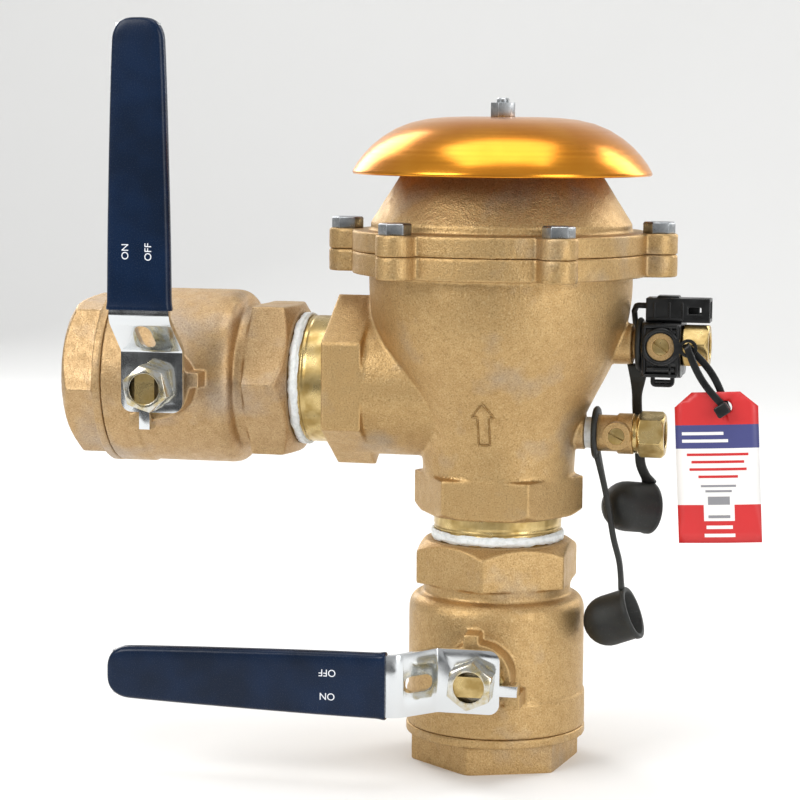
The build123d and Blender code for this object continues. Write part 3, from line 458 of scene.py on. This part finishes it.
def joined(name, pieces, smooth=True):
    """One object from several (points, faces) shells."""
    points, faces = [], []
    for more_points, more_faces in pieces:
        start = len(points)
        points += list(more_points)
        faces += [tuple(index + start for index in face) for face in more_faces]
    return mesh_object(name, points, faces, smooth)


def softened(node, voxel, grit=0.0):
    """A casting's skin: the node's own shape with its edges rolled over. grit is the height of
    the sand's grain on it, with broader lumps under that."""
    thing = copy_of(node, "skin")
    remesh = thing.modifiers.new("skin", "REMESH")
    remesh.mode = "VOXEL"
    remesh.voxel_size = voxel
    remesh.use_smooth_shade = True
    relax = thing.modifiers.new("rolled_edges", "SMOOTH")
    relax.factor = 0.5
    relax.iterations = SMOOTHING_ROUNDS
    if grit:
        for label, size, depth in (("sand", 1.1 * MM, grit), ("lumps", 7 * MM, 1.5 * grit)):
            texture = bpy.data.textures.new(f"{node}_{label}", "CLOUDS")
            texture.noise_scale = size
            push = thing.modifiers.new(label, "DISPLACE")
            push.texture = texture
            push.texture_coords = "LOCAL"
            push.strength = depth
    apply_modifiers(thing)
    return finished(thing, node_material(node), node)


# ------------------------------------------------------------------ castings
SMOOTHING_ROUNDS = 3
skins = {}
for part_node, cell in (
        ("main_body", 0.8 * MM), ("bonnet", 0.8 * MM),
        ("inlet_valve_body", 0.75 * MM), ("outlet_valve_body", 0.75 * MM),
        ("inlet_end_cap", 0.75 * MM), ("outlet_end_cap", 0.75 * MM)):
    skins[part_node] = softened(part_node, cell, grit=0.12 * MM)
for part_node in ("upper_cock_body", "lower_cock_body", "upper_cock_end", "lower_cock_end"):
    softened(part_node, 0.32 * MM)


# ------------------------------------------------------------------ springs
def sprung_wire(node):
    """A coil spring: a copy of the node's own coil in drawn spring wire, on a mesh of its own, tied
    to its node's body.
    """
    made = copy_of(node, "coil")
    shade(made)
    finished(made, materials["spring_steel"], node)
    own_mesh(made)


sprung_wire("check_spring")
sprung_wire("air_spring")


# ------------------------------------------------------------------ threads and tape
class Pipe:
    """A nipple's place: where it starts, which way it runs and how much of it shows."""

    def __init__(self, node, tape, axis):
        low, high = corners(node)
        tape_low, tape_high = corners(tape)
        middle = (low + high) / 2
        self.axis = Vector(axis)
        self.start = middle - self.axis * abs((high - low).dot(self.axis)) / 2
        self.length = abs((high - low).dot(self.axis))
        across = Vector((1, 1, 1)) - Vector([abs(v) for v in axis])
        spread = [v for v, keep in zip(high - low, across) if keep]
        self.radius = max(spread) / 2
        tape_middle = (tape_low + tape_high) / 2
        self.tape_at = (tape_middle - self.start).dot(self.axis)
        self.tape_length = abs((tape_high - tape_low).dot(self.axis))


NIPPLE_STEPS, TAPE_STEPS = 120, 150


def threaded_nipple(name, pipe, made_up, pitch, bore):
    """A pipe nipple with its thread cut as a real helix where it shows. Its made-up ends are
    turned down to stand clear inside the castings."""
    other = pipe.axis.cross(BACK)
    rows_per_turn = 6
    clearance, lead_in = 0.05 * MM, 0.4 * MM
    hidden_depth, thread_depth, runout_turns = 1.0 * MM, 0.85 * MM, 2.4
    shown = pipe.length - 2 * made_up
    rows = int(shown / pitch * rows_per_turn) + 1
    heights = [0.0, made_up - lead_in]
    heights += [made_up + shown * k / rows for k in range(rows + 1)]
    heights += [pipe.length - made_up + lead_in, pipe.length]
    outer = []
    for height in heights:
        hidden = height < made_up - 0.1 * MM or height > pipe.length - made_up + 0.1 * MM
        runout = max(0.0, 1 - (height - made_up - pipe.tape_length) / (runout_turns * pitch))
        ring = []
        for step in range(NIPPLE_STEPS):
            turn = step / NIPPLE_STEPS
            phase = (height / pitch - turn) % 1.0
            depth = hidden_depth
            if not hidden:
                depth = thread_depth * min(1.0, runout) * (1 - abs(2 * phase - 1)) ** 1.2
            angle = 2 * math.pi * turn
            ring.append(pipe.start + pipe.axis * height
                        + (BACK * math.cos(angle) + other * math.sin(angle))
                        * (pipe.radius - clearance - depth))
        outer.append(ring)
    inner = lathe([(bore, pipe.length), (bore, 0.0)], pipe.start, pipe.axis, BACK, NIPPLE_STEPS)
    return mesh_object(name, *loft(outer + inner, looped=True))


def wound_tape(name, pipe, layers):
    """PTFE film wound on a thread: overlapping ragged turns squeezed out of the joint."""
    shells = []
    squeezed_out = 1.45         # how far the turns spread past the tape's made-up length
    middle = pipe.start + pipe.axis * pipe.tape_at
    half = squeezed_out * pipe.tape_length / 2
    middle += pipe.axis * (half - pipe.tape_length / 2)
    limit = half - 0.05 * MM
    for layer in range(layers):
        seed = Vector((3.1 * layer, 1.7, 0.3))
        thick = (0.35 + 0.4 * layer) * MM

        def ragged(angle, which):
            spot = Vector((2.2 * math.cos(angle), 2.2 * math.sin(angle), which * 5.0))
            return noise.noise(spot * 1.6 + seed) + 0.6 * noise.noise(spot * 6.0 + seed)

        rings = []
        for share, lift in ((-1, -0.5), (-1, thick / MM), (-0.3, thick / MM + 0.12),
                            (0.35, thick / MM), (1, thick / MM + 0.1), (1, -0.5)):
            ring = []
            for step in range(TAPE_STEPS):
                angle = 2 * math.pi * step / TAPE_STEPS
                along = half * share * (0.86 - 0.16 * layer + 0.45 * ragged(angle, share))
                along += 0.5 * MM * noise.noise(Vector((math.cos(angle), math.sin(angle), layer)))
                along = max(-limit, min(limit, along))
                side = BACK * math.cos(angle) + pipe.axis.cross(BACK) * math.sin(angle)
                crease = 0.07 * MM * ragged(angle, 2 + share)
                ring.append(middle + pipe.axis * along
                            + side * (pipe.radius + lift * MM + crease))
            rings.append(ring)
        shells.append(loft(rings, looped=True))
    return joined(name, shells)


for prefix, along in (("inlet", (0, 0, 1)), ("outlet", (1, 0, 0))):
    run = Pipe(f"{prefix}_nipple", f"{prefix}_thread_tape", along)
    nipple = threaded_nipple(f"{prefix}_threaded_nipple", run, made_up=17.0 * MM,
                             pitch=2.2 * MM, bore=25.4 * MM)
    finished(nipple, brass, f"{prefix}_nipple")
    tape = wound_tape(f"{prefix}_wound_tape", run, layers=3)
    finished(tape, materials["ptfe"], f"{prefix}_thread_tape")


# ------------------------------------------------------------------ levers
class Lever:
    """A valve's lever: a point on it is u along the lever, v across it, w out from the pipe."""

    def __init__(self, prefix, along):
        pivot = Vector(joints[f"{prefix}_handle_turn"]["pos_m"])
        self.origin = Vector((pivot.x, 0, pivot.z))
        self.u = Vector(along)
        self.w = FRONT
        self.v = self.w.cross(self.u)
        self.grip = [corner - self.origin for corner in corners(f"{prefix}_grip")]

    def at(self, u, v, w):
        return self.origin + self.u * u + self.v * v + self.w * w


def grip_skin(prefix, lever):
    """The vinyl sleeve: flat oval in section, rounded tip, a rolled lip at its open end."""
    starts = sorted(corner.dot(lever.u) for corner in lever.grip)
    floors = sorted(corner.dot(lever.w) for corner in lever.grip)
    length, thick = starts[1] - starts[0], floors[1] - floors[0]
    root_half, tip_half = max(abs(corner.dot(lever.v)) for corner in lever.grip), 12.4 * MM
    middle = sum(floors) / 2
    # Along the grip and its inset, in millimetres, and its share of the full thickness.
    rows = [(0.0, -0.9, 0.80), (0.0, -0.25, 0.93), (0.4, 0.0, 1.0), (1.6, 0.0, 1.0),
            (2.6, -0.35, 0.93), (6.0, -0.4, 0.92), (30.0, 0.0, 0.94), (60.0, 0.0, 0.95),
            (90.0, 0.0, 0.95)]
    rings = []
    for u, inset, height in rows:
        half = root_half + (tip_half - root_half) * (u * MM / length) + inset * MM
        rings.append((starts[0] + u * MM, half, thick * height))
    reach, tip_flat, tip_steps = 11.0 * MM, 2.6 * MM, 6
    for step in range(tip_steps + 1):
        angle = math.radians(90 * step / tip_steps)
        u = starts[1] - reach + reach * math.sin(angle)
        half = tip_flat + (tip_half - tip_flat) * math.cos(angle) ** 0.8
        rings.append((u, half, thick * (0.95 - 0.42 * (step / tip_steps) ** 3)))
    skin = [rounded_box_ring(lever.at(u, 0, middle), lever.v, lever.w, 2 * half, height,
                             0.42 * height, 5) for u, half, height in rings]
    made = mesh_object(f"{prefix}_dipped_grip", *loft(skin))
    made.modifiers.new("round", "SUBSURF").levels = 1
    apply_modifiers(made)
    shade(made)
    finished(made, materials["vinyl_grip"], f"{prefix}_grip")


def grip_marks(prefix, lever):
    """The words ON and OFF printed near the lever's root, across the grip."""
    top = max(corner.dot(lever.w) for corner in lever.grip)
    sunk, from_pivot, aside = 0.22 * MM, 63 * MM, 5.4 * MM
    for word, v in (("OFF", -aside), ("ON", aside)):
        letters = bpy.data.curves.new(f"{prefix}_mark_{word}", "FONT")
        letters.body = word
        letters.size = 4.6 * MM
        letters.extrude = 0.06 * MM
        letters.align_x = "CENTER"
        letters.align_y = "CENTER"
        made = placed(letters.name, letters)
        turn = Matrix((lever.u, lever.v, lever.w)).transposed().to_4x4()
        made.matrix_world = Matrix.Translation(lever.at(from_pivot, v, top - sunk)) @ turn
        bpy.context.view_layer.update()
        flat = bpy.data.meshes.new_from_object(
            made.evaluated_get(bpy.context.evaluated_depsgraph_get()))
        flat.transform(made.matrix_world)
        bpy.data.objects.remove(made)
        flat.materials.clear()
        finished(placed(letters.name, flat), white_ink, f"{prefix}_grip", replaces=False)


for prefix, along in (("inlet", (-1, 0, 0)), ("outlet", (0, 0, 1))):
    lever = Lever(prefix, along)
    grip_skin(prefix, lever)
    grip_marks(prefix, lever)


# ------------------------------------------------------------------ canopy
def canopy_dome():
    """The spun dome: one thin sheet with a small rolled rim and a flat seat for its nut."""
    low, high = corners("canopy")
    radius, height = (high.x - low.x) / 2, high.z - low.z
    sheet, bore = 1.2 * MM, 3.1 * MM
    share = [(1.0, 0.03), (0.992, 0.075), (0.965, 0.2), (0.925, 0.335), (0.87, 0.49),
             (0.80, 0.64), (0.71, 0.785), (0.61, 0.89), (0.50, 0.955), (0.38, 0.988),
             (0.25, 1.0), (0.12, 1.0)]
    outer = [(radius * r, height * h) for r, h in share] + [(bore, height)]
    inner = []
    for (r0, h0), (r1, h1) in zip(outer, outer[1:]):
        run = math.hypot(r0 - r1, h1 - h0) or 1.0
        inner.append((r0 - sheet * (h1 - h0) / run, h0 - sheet * (r0 - r1) / run))
    inner = [(max(r, bore), h) for r, h in inner] + [(bore, height - sheet)]
    rim = [(radius - 1.1 * MM, 0.02 * MM), (radius - 0.35 * MM, 0.0)]
    profile = outer[::-1] + rim[::-1] + inner[1:]
    rings = lathe(profile, Vector((0, 0, low.z)), UP, RIGHT, 160)
    made = mesh_object("canopy_spun_dome", *loft(rings, looped=True))
    finished(made, materials["anodised_aluminium"], "canopy")


canopy_dome()


# ------------------------------------------------------------------ caps on their straps
def cap_on_strap(node, route, mouth, facing, flat_side, fork):
    """A moulded cap: a loop round the cock, a flat forked strap and a hollow domed cap. route
    and mouth are in millimetres from the hinge, and fork is the strap's share that widens."""
    hinge = Vector(joints[f"{node}_swing"]["pos_m"])
    loop_r, bore_r, half = corners(node)[1].z - hinge.z, 8.6 * MM, 1.3 * MM
    profile = [(bore_r, -half + 0.4 * MM), (bore_r + 0.5 * MM, -half),
               (loop_r - 0.8 * MM, -half), (loop_r, -half + 0.8 * MM),
               (loop_r, half - 0.8 * MM), (loop_r - 0.8 * MM, half),
               (bore_r + 0.5 * MM, half), (bore_r, half - 0.4 * MM)]
    shells = [loft(lathe(profile, hinge, RIGHT, UP, 72), looped=True)]
    facing = Vector(facing).normalized()
    mouth = hinge + Vector(mouth) * MM
    up = (UP - facing * facing.z).normalized()
    outer_r, wall, depth = 12.4 * MM, 2.2 * MM, 12.4 * MM
    inner_r, dome_r, lip = outer_r - wall, outer_r - 0.5 * MM, 0.35 * MM
    path = [hinge + Vector(point) * MM for point in route]
    path.append(mouth + up * (outer_r - 0.7 * MM) - facing * 2.0 * MM)
    trail = smooth_route(path, 46)

    def strap_width(share):
        at_loop = 5.5 * max(0.0, 1 - share / fork) ** 1.5
        at_cap = 2.6 * max(0.0, share - 0.93) / 0.07
        return (4.6 + at_loop + at_cap) * MM

    shells.append(loft(bar_along(trail, flat_side, strap_width, 2.4 * MM, 0.8 * MM)))

    def arc(radius, angles):
        return [(radius * math.cos(math.radians(a)), -depth - radius * math.sin(math.radians(a)))
                for a in angles]

    dome = [(inner_r, 0.0), (inner_r + 0.5 * MM, lip), (outer_r - 0.3 * MM, lip),
            (outer_r, 0.0), (outer_r, -1.8 * MM), (dome_r, -2.4 * MM), (dome_r, -depth)]
    dome += arc(dome_r, (12, 24, 36, 48, 60, 72, 82))
    dome += [(0.3 * MM, -depth - dome_r), (0.3 * MM, -depth - inner_r)]
    dome += arc(inner_r, (80, 60, 40, 20, 0))
    dome = [(r, h - lip) for r, h in dome]
    shells.append(loft(lathe(dome, mouth, facing, up, 64), looped=True))
    finished(joined(f"{node}_moulding", shells), rubber, node)


cap_on_strap("upper_cap",
             [(-1.0, 1.0, -9.5), (-1.2, 3, -16.5), (-2.4, 11, -27.5), (-2.0, 14.3, -40),
              (-1.2, 14.9, -50), (-0.5, 16.2, -59)],
             mouth=(3.4, 22, -80.0), facing=(0.80, 0.58, -0.12), flat_side=RIGHT, fork=0.3)
cap_on_strap("lower_cap",
             [(0.4, 0, -9.5), (2.1, -0.3, -16.5), (5.7, -1.2, -31.5), (9.1, -3, -48.5),
              (12.6, -6, -60)],
             mouth=(20.2, -9, -82.5), facing=(0.93, -0.08, 0.36), flat_side=BACK, fork=0.22)


# ------------------------------------------------------------------ pressed and moulded parts
def eased(node, radius):
    """The node's own shape with its edges broken, as pressing, plating or moulding leaves them."""
    thing = copy_of(node, "eased")
    shape = bmesh.new()
    shape.from_mesh(thing.data)
    bmesh.ops.remove_doubles(shape, verts=shape.verts, dist=0.002 * MM)
    bmesh.ops.dissolve_limit(shape, angle_limit=math.radians(1.0), verts=shape.verts,
                             edges=shape.edges)
    shape.to_mesh(thing.data)
    shape.free()
    bevel = thing.modifiers.new("edges", "BEVEL")
    bevel.width = radius
    bevel.segments = 3
    bevel.limit_method = "ANGLE"
    bevel.angle_limit = math.radians(40)
    apply_modifiers(thing)
    shade(thing)
    thing.data.set_sharp_from_angle(angle=math.radians(38))
    finished(thing, node_material(node), node)


for part_node, radius in (
        ("inlet_handle", 0.7 * MM), ("outlet_handle", 0.7 * MM),
        ("inlet_handle_nut", 0.35 * MM), ("outlet_handle_nut", 0.35 * MM),
        ("upper_cock_stem", 0.2 * MM), ("lower_cock_stem", 0.2 * MM),
        ("bonnet_bolts", 0.3 * MM), ("canopy_lock_nut", 0.25 * MM),
        ("sensor_clamp_front", 0.5 * MM), ("sensor_clamp_back", 0.6 * MM),
        ("sensor_connector", 0.5 * MM)):
    eased(part_node, radius)


# ------------------------------------------------------------------ sensor clamp's mouldings
def slab(centre, x_size, y_size, z_size, radius):
    """A moulded rib or block: a rounded box skin with its two ends eased in."""
    centre = Vector(centre)
    return loft([rounded_box_ring(centre + UP * lift * z_size, RIGHT, BACK,
                                  x_size - shrink * radius, y_size - shrink * radius, radius, 3)
                 for lift, shrink in ((-0.5, 0.7), (-0.44, 0.0), (0.44, 0.0), (0.5, 0.7))])


def latch_bail():
    """The clamp's closing bail: a flat moulded loop below the block, with a narrow slot."""
    low, high = corners("sensor_latch")
    centre = (low + high) / 2
    width, height = high.x - low.x, high.z - low.z
    bar, bend, raised = 1.9 * MM, 1.3 * MM, 1.0 * MM
    half_w, half_h = (width - bar) / 2, (height + 2 * raised - bar) / 2
    loop = []
    for corner, (sx, sz) in enumerate(((1, 1), (-1, 1), (-1, -1), (1, -1))):
        for angle in (0, 30, 60, 90):
            a = math.radians(90 * corner + angle)
            loop.append(centre + Vector((sx * (half_w - bend) + bend * math.cos(a), 0,
                                         raised + sz * (half_h - bend) + bend * math.sin(a))))
    rings = []
    for i, point in enumerate(loop):
        ahead = (loop[(i + 1) % len(loop)] - loop[i - 1]).normalized()
        rings.append(rounded_box_ring(point, BACK, ahead.cross(BACK), 3.4 * MM, bar,
                                      0.5 * MM, 3))
    shells = [loft(rings, looped=True),
              slab(centre + UP * 0.2 * MM, width - 3.2 * MM, 2.6 * MM, 1.3 * MM, 0.4 * MM)]
    finished(joined("sensor_latch_bail", shells), nylon, "sensor_latch")


def clamp_ribs():
    """Ribs, steps and the raised collar round the cock's stem, moulded on the clamp."""
    low, high = corners("sensor_clamp_back")
    stem = Vector(joints["upper_cock_turn"]["pos_m"])
    left, right, middle = low.x, high.x, (low.x + high.x) / 2
    face = -11.0 * MM
    collar = [(6.75 * MM, 9.0 * MM), (6.9 * MM, 13.0 * MM), (7.3 * MM, 13.4 * MM),
              (8.3 * MM, 13.4 * MM), (8.8 * MM, 12.9 * MM), (9.0 * MM, 9.0 * MM)]
    shells = [loft(lathe(collar, Vector((stem.x, 0, stem.z)), FRONT, RIGHT, 64), looped=True)]
    for x in (left + 1.3 * MM, right - 4.6 * MM, right - 1.5 * MM):
        shells.append(slab((x, face - 0.2 * MM, stem.z - 1.6 * MM), 1.3 * MM, 2.2 * MM,
                           high.z - low.z - 2.5 * MM, 0.4 * MM))
    for z, reach in ((high.z - 1.6 * MM, 15.0), (high.z - 4.4 * MM, 13.6),
                     (low.z + 1.2 * MM, 15.0), (low.z + 4.2 * MM, 13.0)):
        shells.append(slab((middle, face - 0.1 * MM, z), reach * MM, 2.4 * MM, 1.5 * MM, 0.4 * MM))
    for x, z in ((left + 3.2 * MM, high.z - 7.0 * MM), (right - 3.0 * MM, low.z + 7.5 * MM)):
        shells.append(slab((x, face - 0.3 * MM, z), 2.8 * MM, 2.2 * MM, 3.6 * MM, 0.5 * MM))
    finished(joined("sensor_clamp_ribs", shells), nylon, "sensor_clamp_front", replaces=False)


def terminal_block():
    """The insert that shows through the connector's window, and the ribs beside the window."""
    low, high = corners("sensor_connector")
    insert = slab((high.x - 8.9 * MM, (low.y + high.y) / 2 + 1.6 * MM, low.z + 5.5 * MM),
                  7.0 * MM, 2.4 * MM, 5.4 * MM, 0.5 * MM)
    finished(joined("connector_insert", [insert]), materials["cable_jacket"], "sensor_connector",
             replaces=False)
    ribs = [slab((x, low.y + 0.1 * MM, low.z + 5.2 * MM), 1.0 * MM, 1.0 * MM, 8.0 * MM, 0.3 * MM)
            for x in (low.x + 4 * MM, low.x + 11 * MM, low.x + 17 * MM)]
    ribs.append(slab((low.x + 9 * MM, low.y + 0.1 * MM, low.z + 1.2 * MM), 16 * MM, 1.0 * MM,
                     1.4 * MM, 0.4 * MM))
    finished(joined("connector_ribs", ribs), nylon, "sensor_connector", replaces=False)


latch_bail()
clamp_ribs()
terminal_block()


# ------------------------------------------------------------------ flow arrow
def flow_arrow():
    """The raised outline arrow on the bowl, laid on the casting's own skin, in a darker bronze:
    painted shade that stands for the shadow along its raised line.
    """
    skin = skins["main_body"]
    length, width = 20.0 * MM, 10.5 * MM
    level = mounts["outlet"]["pos_m"][2] - 14.5 * MM
    head, half = length / 2, width / 2
    outline = [(0, head), (half, head / 3), (half / 2, head / 3), (half / 2, -head),
               (-half / 2, -head), (-half / 2, head / 3), (-half, head / 3)]
    step, ahead_of_all, bowl_front = 0.8 * MM, -0.2, -0.04
    trail = []
    for (x0, z0), (x1, z1) in zip(outline, outline[1:] + outline[:1]):
        count = max(3, int(math.hypot(x1 - x0, z1 - z0) / step))
        for k in range(count):
            x, z = x0 + (x1 - x0) * k / count, level + z0 + (z1 - z0) * k / count
            hit, spot, _, _ = skin.ray_cast(Vector((x, ahead_of_all, z)), BACK)
            trail.append(Vector(spot) if hit else Vector((x, bowl_front, z)))
    rings = []
    for i, point in enumerate(trail):
        ahead = (trail[(i + 1) % len(trail)] - trail[i - 1]).normalized()
        flat = FRONT.cross(ahead).normalized()
        rings.append(rounded_box_ring(point, flat, ahead.cross(flat).normalized(), 1.0 * MM,
                                      1.7 * MM, 0.35 * MM, 3))
    finished(mesh_object("raised_flow_arrow", *loft(rings, looped=True)), arrow_bronze_painted_shade,
             "main_body", replaces=False)


flow_arrow()


# ------------------------------------------------------------------ hang tag
# Where each printed band starts below the card's top, in millimetres, and its ink.
TAG_BANDS = ((0.0, red_print), (15.0, violet_print), (25.8, card), (51.8, red_print))
TAG_SHOULDER, TAG_DROP, TAG_HOLE_R = 8.0 * MM, 6.8 * MM, 3.0 * MM


class Tag:
    """The card's own frame: across to the right, down, and out towards the front."""

    def __init__(self):
        low, high = corners("hang_tag")
        lean = math.radians(3.0)
        self.right = Vector((math.cos(lean), 0, math.sin(lean)))
        self.down = Vector((math.sin(lean), 0, -math.cos(lean)))
        self.width, self.height = 38.0 * MM, 69.5 * MM
        self.thick = high.y - low.y
        self.corner = Vector((low.x - self.down.x * TAG_DROP, (low.y + high.y) / 2,
                              low.z - self.down.z * self.height))
        self.hole = (23.2 * MM, 7.0 * MM)

    def at(self, across, down, out=0.0):
        bow = 0.9 * MM * math.sin(math.pi * across / self.width)
        bow += 0.5 * MM * math.sin(math.pi * down / self.height)
        return (self.corner + self.right * across + self.down * down
                + FRONT * (out + bow - 0.5 * MM))


def hanging_card(tag):
    """A laminated card in four printed bands, slightly bowed, with a punched hole."""
    outline = [(TAG_SHOULDER, 0), (tag.width - TAG_SHOULDER, 0), (tag.width, TAG_DROP),
               (tag.width, tag.height), (0, tag.height), (0, TAG_DROP)]
    circle = [(tag.hole[0] + TAG_HOLE_R * math.cos(math.radians(a)),
               tag.hole[1] + TAG_HOLE_R * math.sin(math.radians(a))) for a in range(0, 360, 15)]
    shape = bmesh.new()
    edges = []
    for loop in (outline, circle):
        points = [shape.verts.new((x, y, 0)) for x, y in loop]
        edges += [shape.edges.new((points[i], points[(i + 1) % len(points)]))
                  for i in range(len(points))]
    bmesh.ops.triangle_fill(shape, use_beauty=True, edges=edges)
    rows, columns = 14, 10
    levels = [start * MM for start, _ in TAG_BANDS[1:]]
    levels += [tag.height * k / rows for k in range(1, rows)]
    cuts = [((0, level, 0), (0, 1, 0)) for level in levels]
    cuts += [((tag.width * k / columns, 0, 0), (1, 0, 0)) for k in range(1, columns)]
    for point, normal in cuts:
        bmesh.ops.bisect_plane(shape, geom=shape.verts[:] + shape.edges[:] + shape.faces[:],
                               plane_co=point, plane_no=normal)
    for face in shape.faces:
        down = face.calc_center_median().y / MM
        face.material_index = sum(down > start for start, _ in TAG_BANDS[1:])
        face.smooth = True
    for vert in shape.verts:
        vert.co = tag.at(vert.co.x, vert.co.y)
    bmesh.ops.recalc_face_normals(shape, faces=shape.faces)
    mesh = bpy.data.meshes.new("hanging_card")
    shape.to_mesh(mesh)
    shape.free()
    made = placed("hanging_card", mesh)
    for _, ink in TAG_BANDS:
        mesh.materials.append(ink)
    sheet = made.modifiers.new("card", "SOLIDIFY")
    sheet.thickness = tag.thick
    sheet.offset = 0.0
    apply_modifiers(made)
    finished(made, card, "hang_tag")


def printed_bars(tag, name, ink, bars):
    """Plain bars that stand for lines of print: (left, down, width, height) in millimetres."""
    shells = []
    under, over = tag.thick / 2 - 0.02 * MM, tag.thick / 2 + 0.05 * MM
    for left, down, width, height in bars:
        steps = max(2, int(width / 2))
        y0, y1 = down * MM, (down + height) * MM
        rings = []
        for k in range(steps + 1):
            x = (left + width * k / steps) * MM
            rings.append([tag.at(x, y0, under), tag.at(x, y0, over),
                          tag.at(x, y1, over), tag.at(x, y1, under)])
        shells.append(loft(rings))
    finished(joined(name, shells, smooth=False), ink, "hang_tag", replaces=False)


tag = Tag()
hanging_card(tag)
printed_bars(tag, "card_white_bars", card,
             [(3, 18.2, 19, 1.4), (3, 21.6, 21, 1.4), (12.0, 51.8, 14, 7.5), (13, 61.4, 12, 1.6),
              (12, 65.2, 14, 1.6)])
printed_bars(tag, "card_red_bars", red_print,
             [(5, 28.0, 28, 1.2), (7, 31.4, 24, 1.2), (6, 34.8, 26, 1.2), (10, 38.2, 18, 1.2)])
printed_bars(tag, "card_grey_bars", grey_print,
             [(11, 42.6, 16, 1.0), (13, 45.0, 12, 1.0), (14, 48.0, 10, 10)])


# ------------------------------------------------------------------ cable tie
def tie_loop():
    """A nylon tie: a flat strap round the ear and the card's hole, with its head."""
    pivot = Vector(joints["tag_swing"]["pos_m"])
    hole = tag.at(*tag.hole)
    hole.y = pivot.y
    run = hole - pivot
    length = run.length
    run.normalize()
    side = run.cross(FRONT).normalized()
    front, back, end_r = 2.4 * MM, -2.0 * MM, 1.6 * MM
    centre, half = (front + back) / 2, (front - back) / 2
    loop = []
    # Round the card's hole, up behind it, round the ear, and down in front.
    for start, end, facing, level, sway in ((hole, pivot, 1, back, 2.6 * MM),
                                            (pivot, hole, -1, front, 2.2 * MM)):
        for angle in range(-90, 91, 18):
            a = math.radians(angle)
            loop.append(start + run * facing * end_r * math.cos(a)
                        + FRONT * (centre - facing * half * math.sin(a)))
        for share in [k / 12 for k in range(1, 12)]:
            loop.append(start.lerp(end, share) + FRONT * level
                        - side * facing * sway * math.sin(math.pi * share))
    rings = []
    for i, point in enumerate(loop):
        ahead = (loop[(i + 1) % len(loop)] - loop[i - 1]).normalized()
        face = ahead.cross(side).normalized()
        rings.append(rounded_box_ring(point, face.cross(ahead), face, 3.4 * MM, 1.15 * MM,
                                      0.5 * MM, 3))
    shells = [loft(rings, looped=True)]
    head = pivot + run * (length + 0.2 * MM) + FRONT * (front + 2.0 * MM) + side * 1.4 * MM
    block = []
    for lift, grow in ((-2.0, -0.4), (-1.7, 0), (1.6, 0), (2.1, -0.4), (2.2, -1.2)):
        block.append(rounded_box_ring(head + FRONT * lift * MM, run, side, (5.4 + grow) * MM,
                                      (6.4 + grow) * MM, 0.8 * MM, 3))
    shells.append(loft(block))
    finished(joined("cable_tie_loop", shells), nylon, "cable_tie")


tie_loop()


# ------------------------------------------------------------------ stage, light and camera
FLOOR_GAP = 0.6 * MM


def studio():
    """A pale floor that sweeps up into a backdrop."""
    rows = [(-3.0, 0.0), (1.2, 0.0), (1.6, 0.06), (1.9, 0.3), (2.0, 0.8), (2.0, 3.5)]
    points = [(x, y, z) for y, z in rows for x in (-5.0, 5.0)]
    faces = [(2 * k, 2 * k + 1, 2 * k + 3, 2 * k + 2) for k in range(len(rows) - 1)]
    floor = mesh_object("studio_sweep", points, faces)
    floor.location.z = -FLOOR_GAP
    floor.data.materials.append(started("studio_paper", "#F2F2F1", Roughness=0.9)[0])
    floor.modifiers.new("bend", "SUBSURF").levels = 3


def black_flag():
    """A dark board low in front: only bright metal sees it, as a dark reflection."""
    flag = mesh_object("studio_flag", [(-1.3, -2.6, 0), (0.5, -2.6, 0), (0.5, -0.1, 0),
                                       (-1.3, -0.1, 0)], [(0, 1, 2, 3)])
    flag.location.z = 2 * MM
    flag.data.materials.append(started("black_felt", "#101010", Roughness=0.95)[0])
    flag.visible_camera = flag.visible_diffuse = flag.visible_shadow = False


def softbox(name, place, size, power):
    """A soft white lamp of a size in metres, turned to the object's middle."""
    lamp = bpy.data.lights.new(name, "AREA")
    lamp.shape = "RECTANGLE"
    lamp.size, lamp.size_y = size
    lamp.energy = power
    made = placed(name, lamp)
    made.location = place
    to_middle = Vector((-0.03, 0.0, 0.17)) - Vector(place)
    made.rotation_euler = to_middle.to_track_quat("-Z", "Y").to_euler()


studio()
black_flag()
softbox("key", (-1.1, -1.3, 1.1), (0.9, 0.9), 17)
softbox("fill", (1.3, -1.0, 0.6), (0.8, 1.1), 9)
softbox("top", (0.0, -0.1, 1.5), (1.1, 0.8), 8)
softbox("back_left", (-0.9, 0.9, 0.8), (0.5, 1.0), 7)
softbox("back_right", (0.9, 0.9, 0.8), (0.5, 1.0), 7)

world = bpy.data.worlds.new("studio")
world.use_nodes = True
sky = world.node_tree.nodes["Background"]
sky.inputs["Color"].default_value = linear("#FFFFFF")
sky.inputs["Strength"].default_value = 0.5
bpy.context.scene.world = world
bpy.context.scene.view_settings.view_transform = "Standard"

lens = bpy.data.cameras.new("camera")
lens.sensor_width = 36.0
lens.lens = 113.4
lens.clip_start, lens.clip_end = 0.05, 30.0
camera = placed("camera", lens)
bearing, tilt, roll = math.radians(12.27), math.radians(6.52), math.radians(0.48)
camera.matrix_world = (Matrix.Translation((0.20456, -1.16010, 0.3094))
                       @ Matrix.Rotation(bearing, 4, "Z")
                       @ Matrix.Rotation(math.pi / 2 - tilt, 4, "X")
                       @ Matrix.Rotation(roll, 4, "Z"))
bpy.context.scene.camera = camera
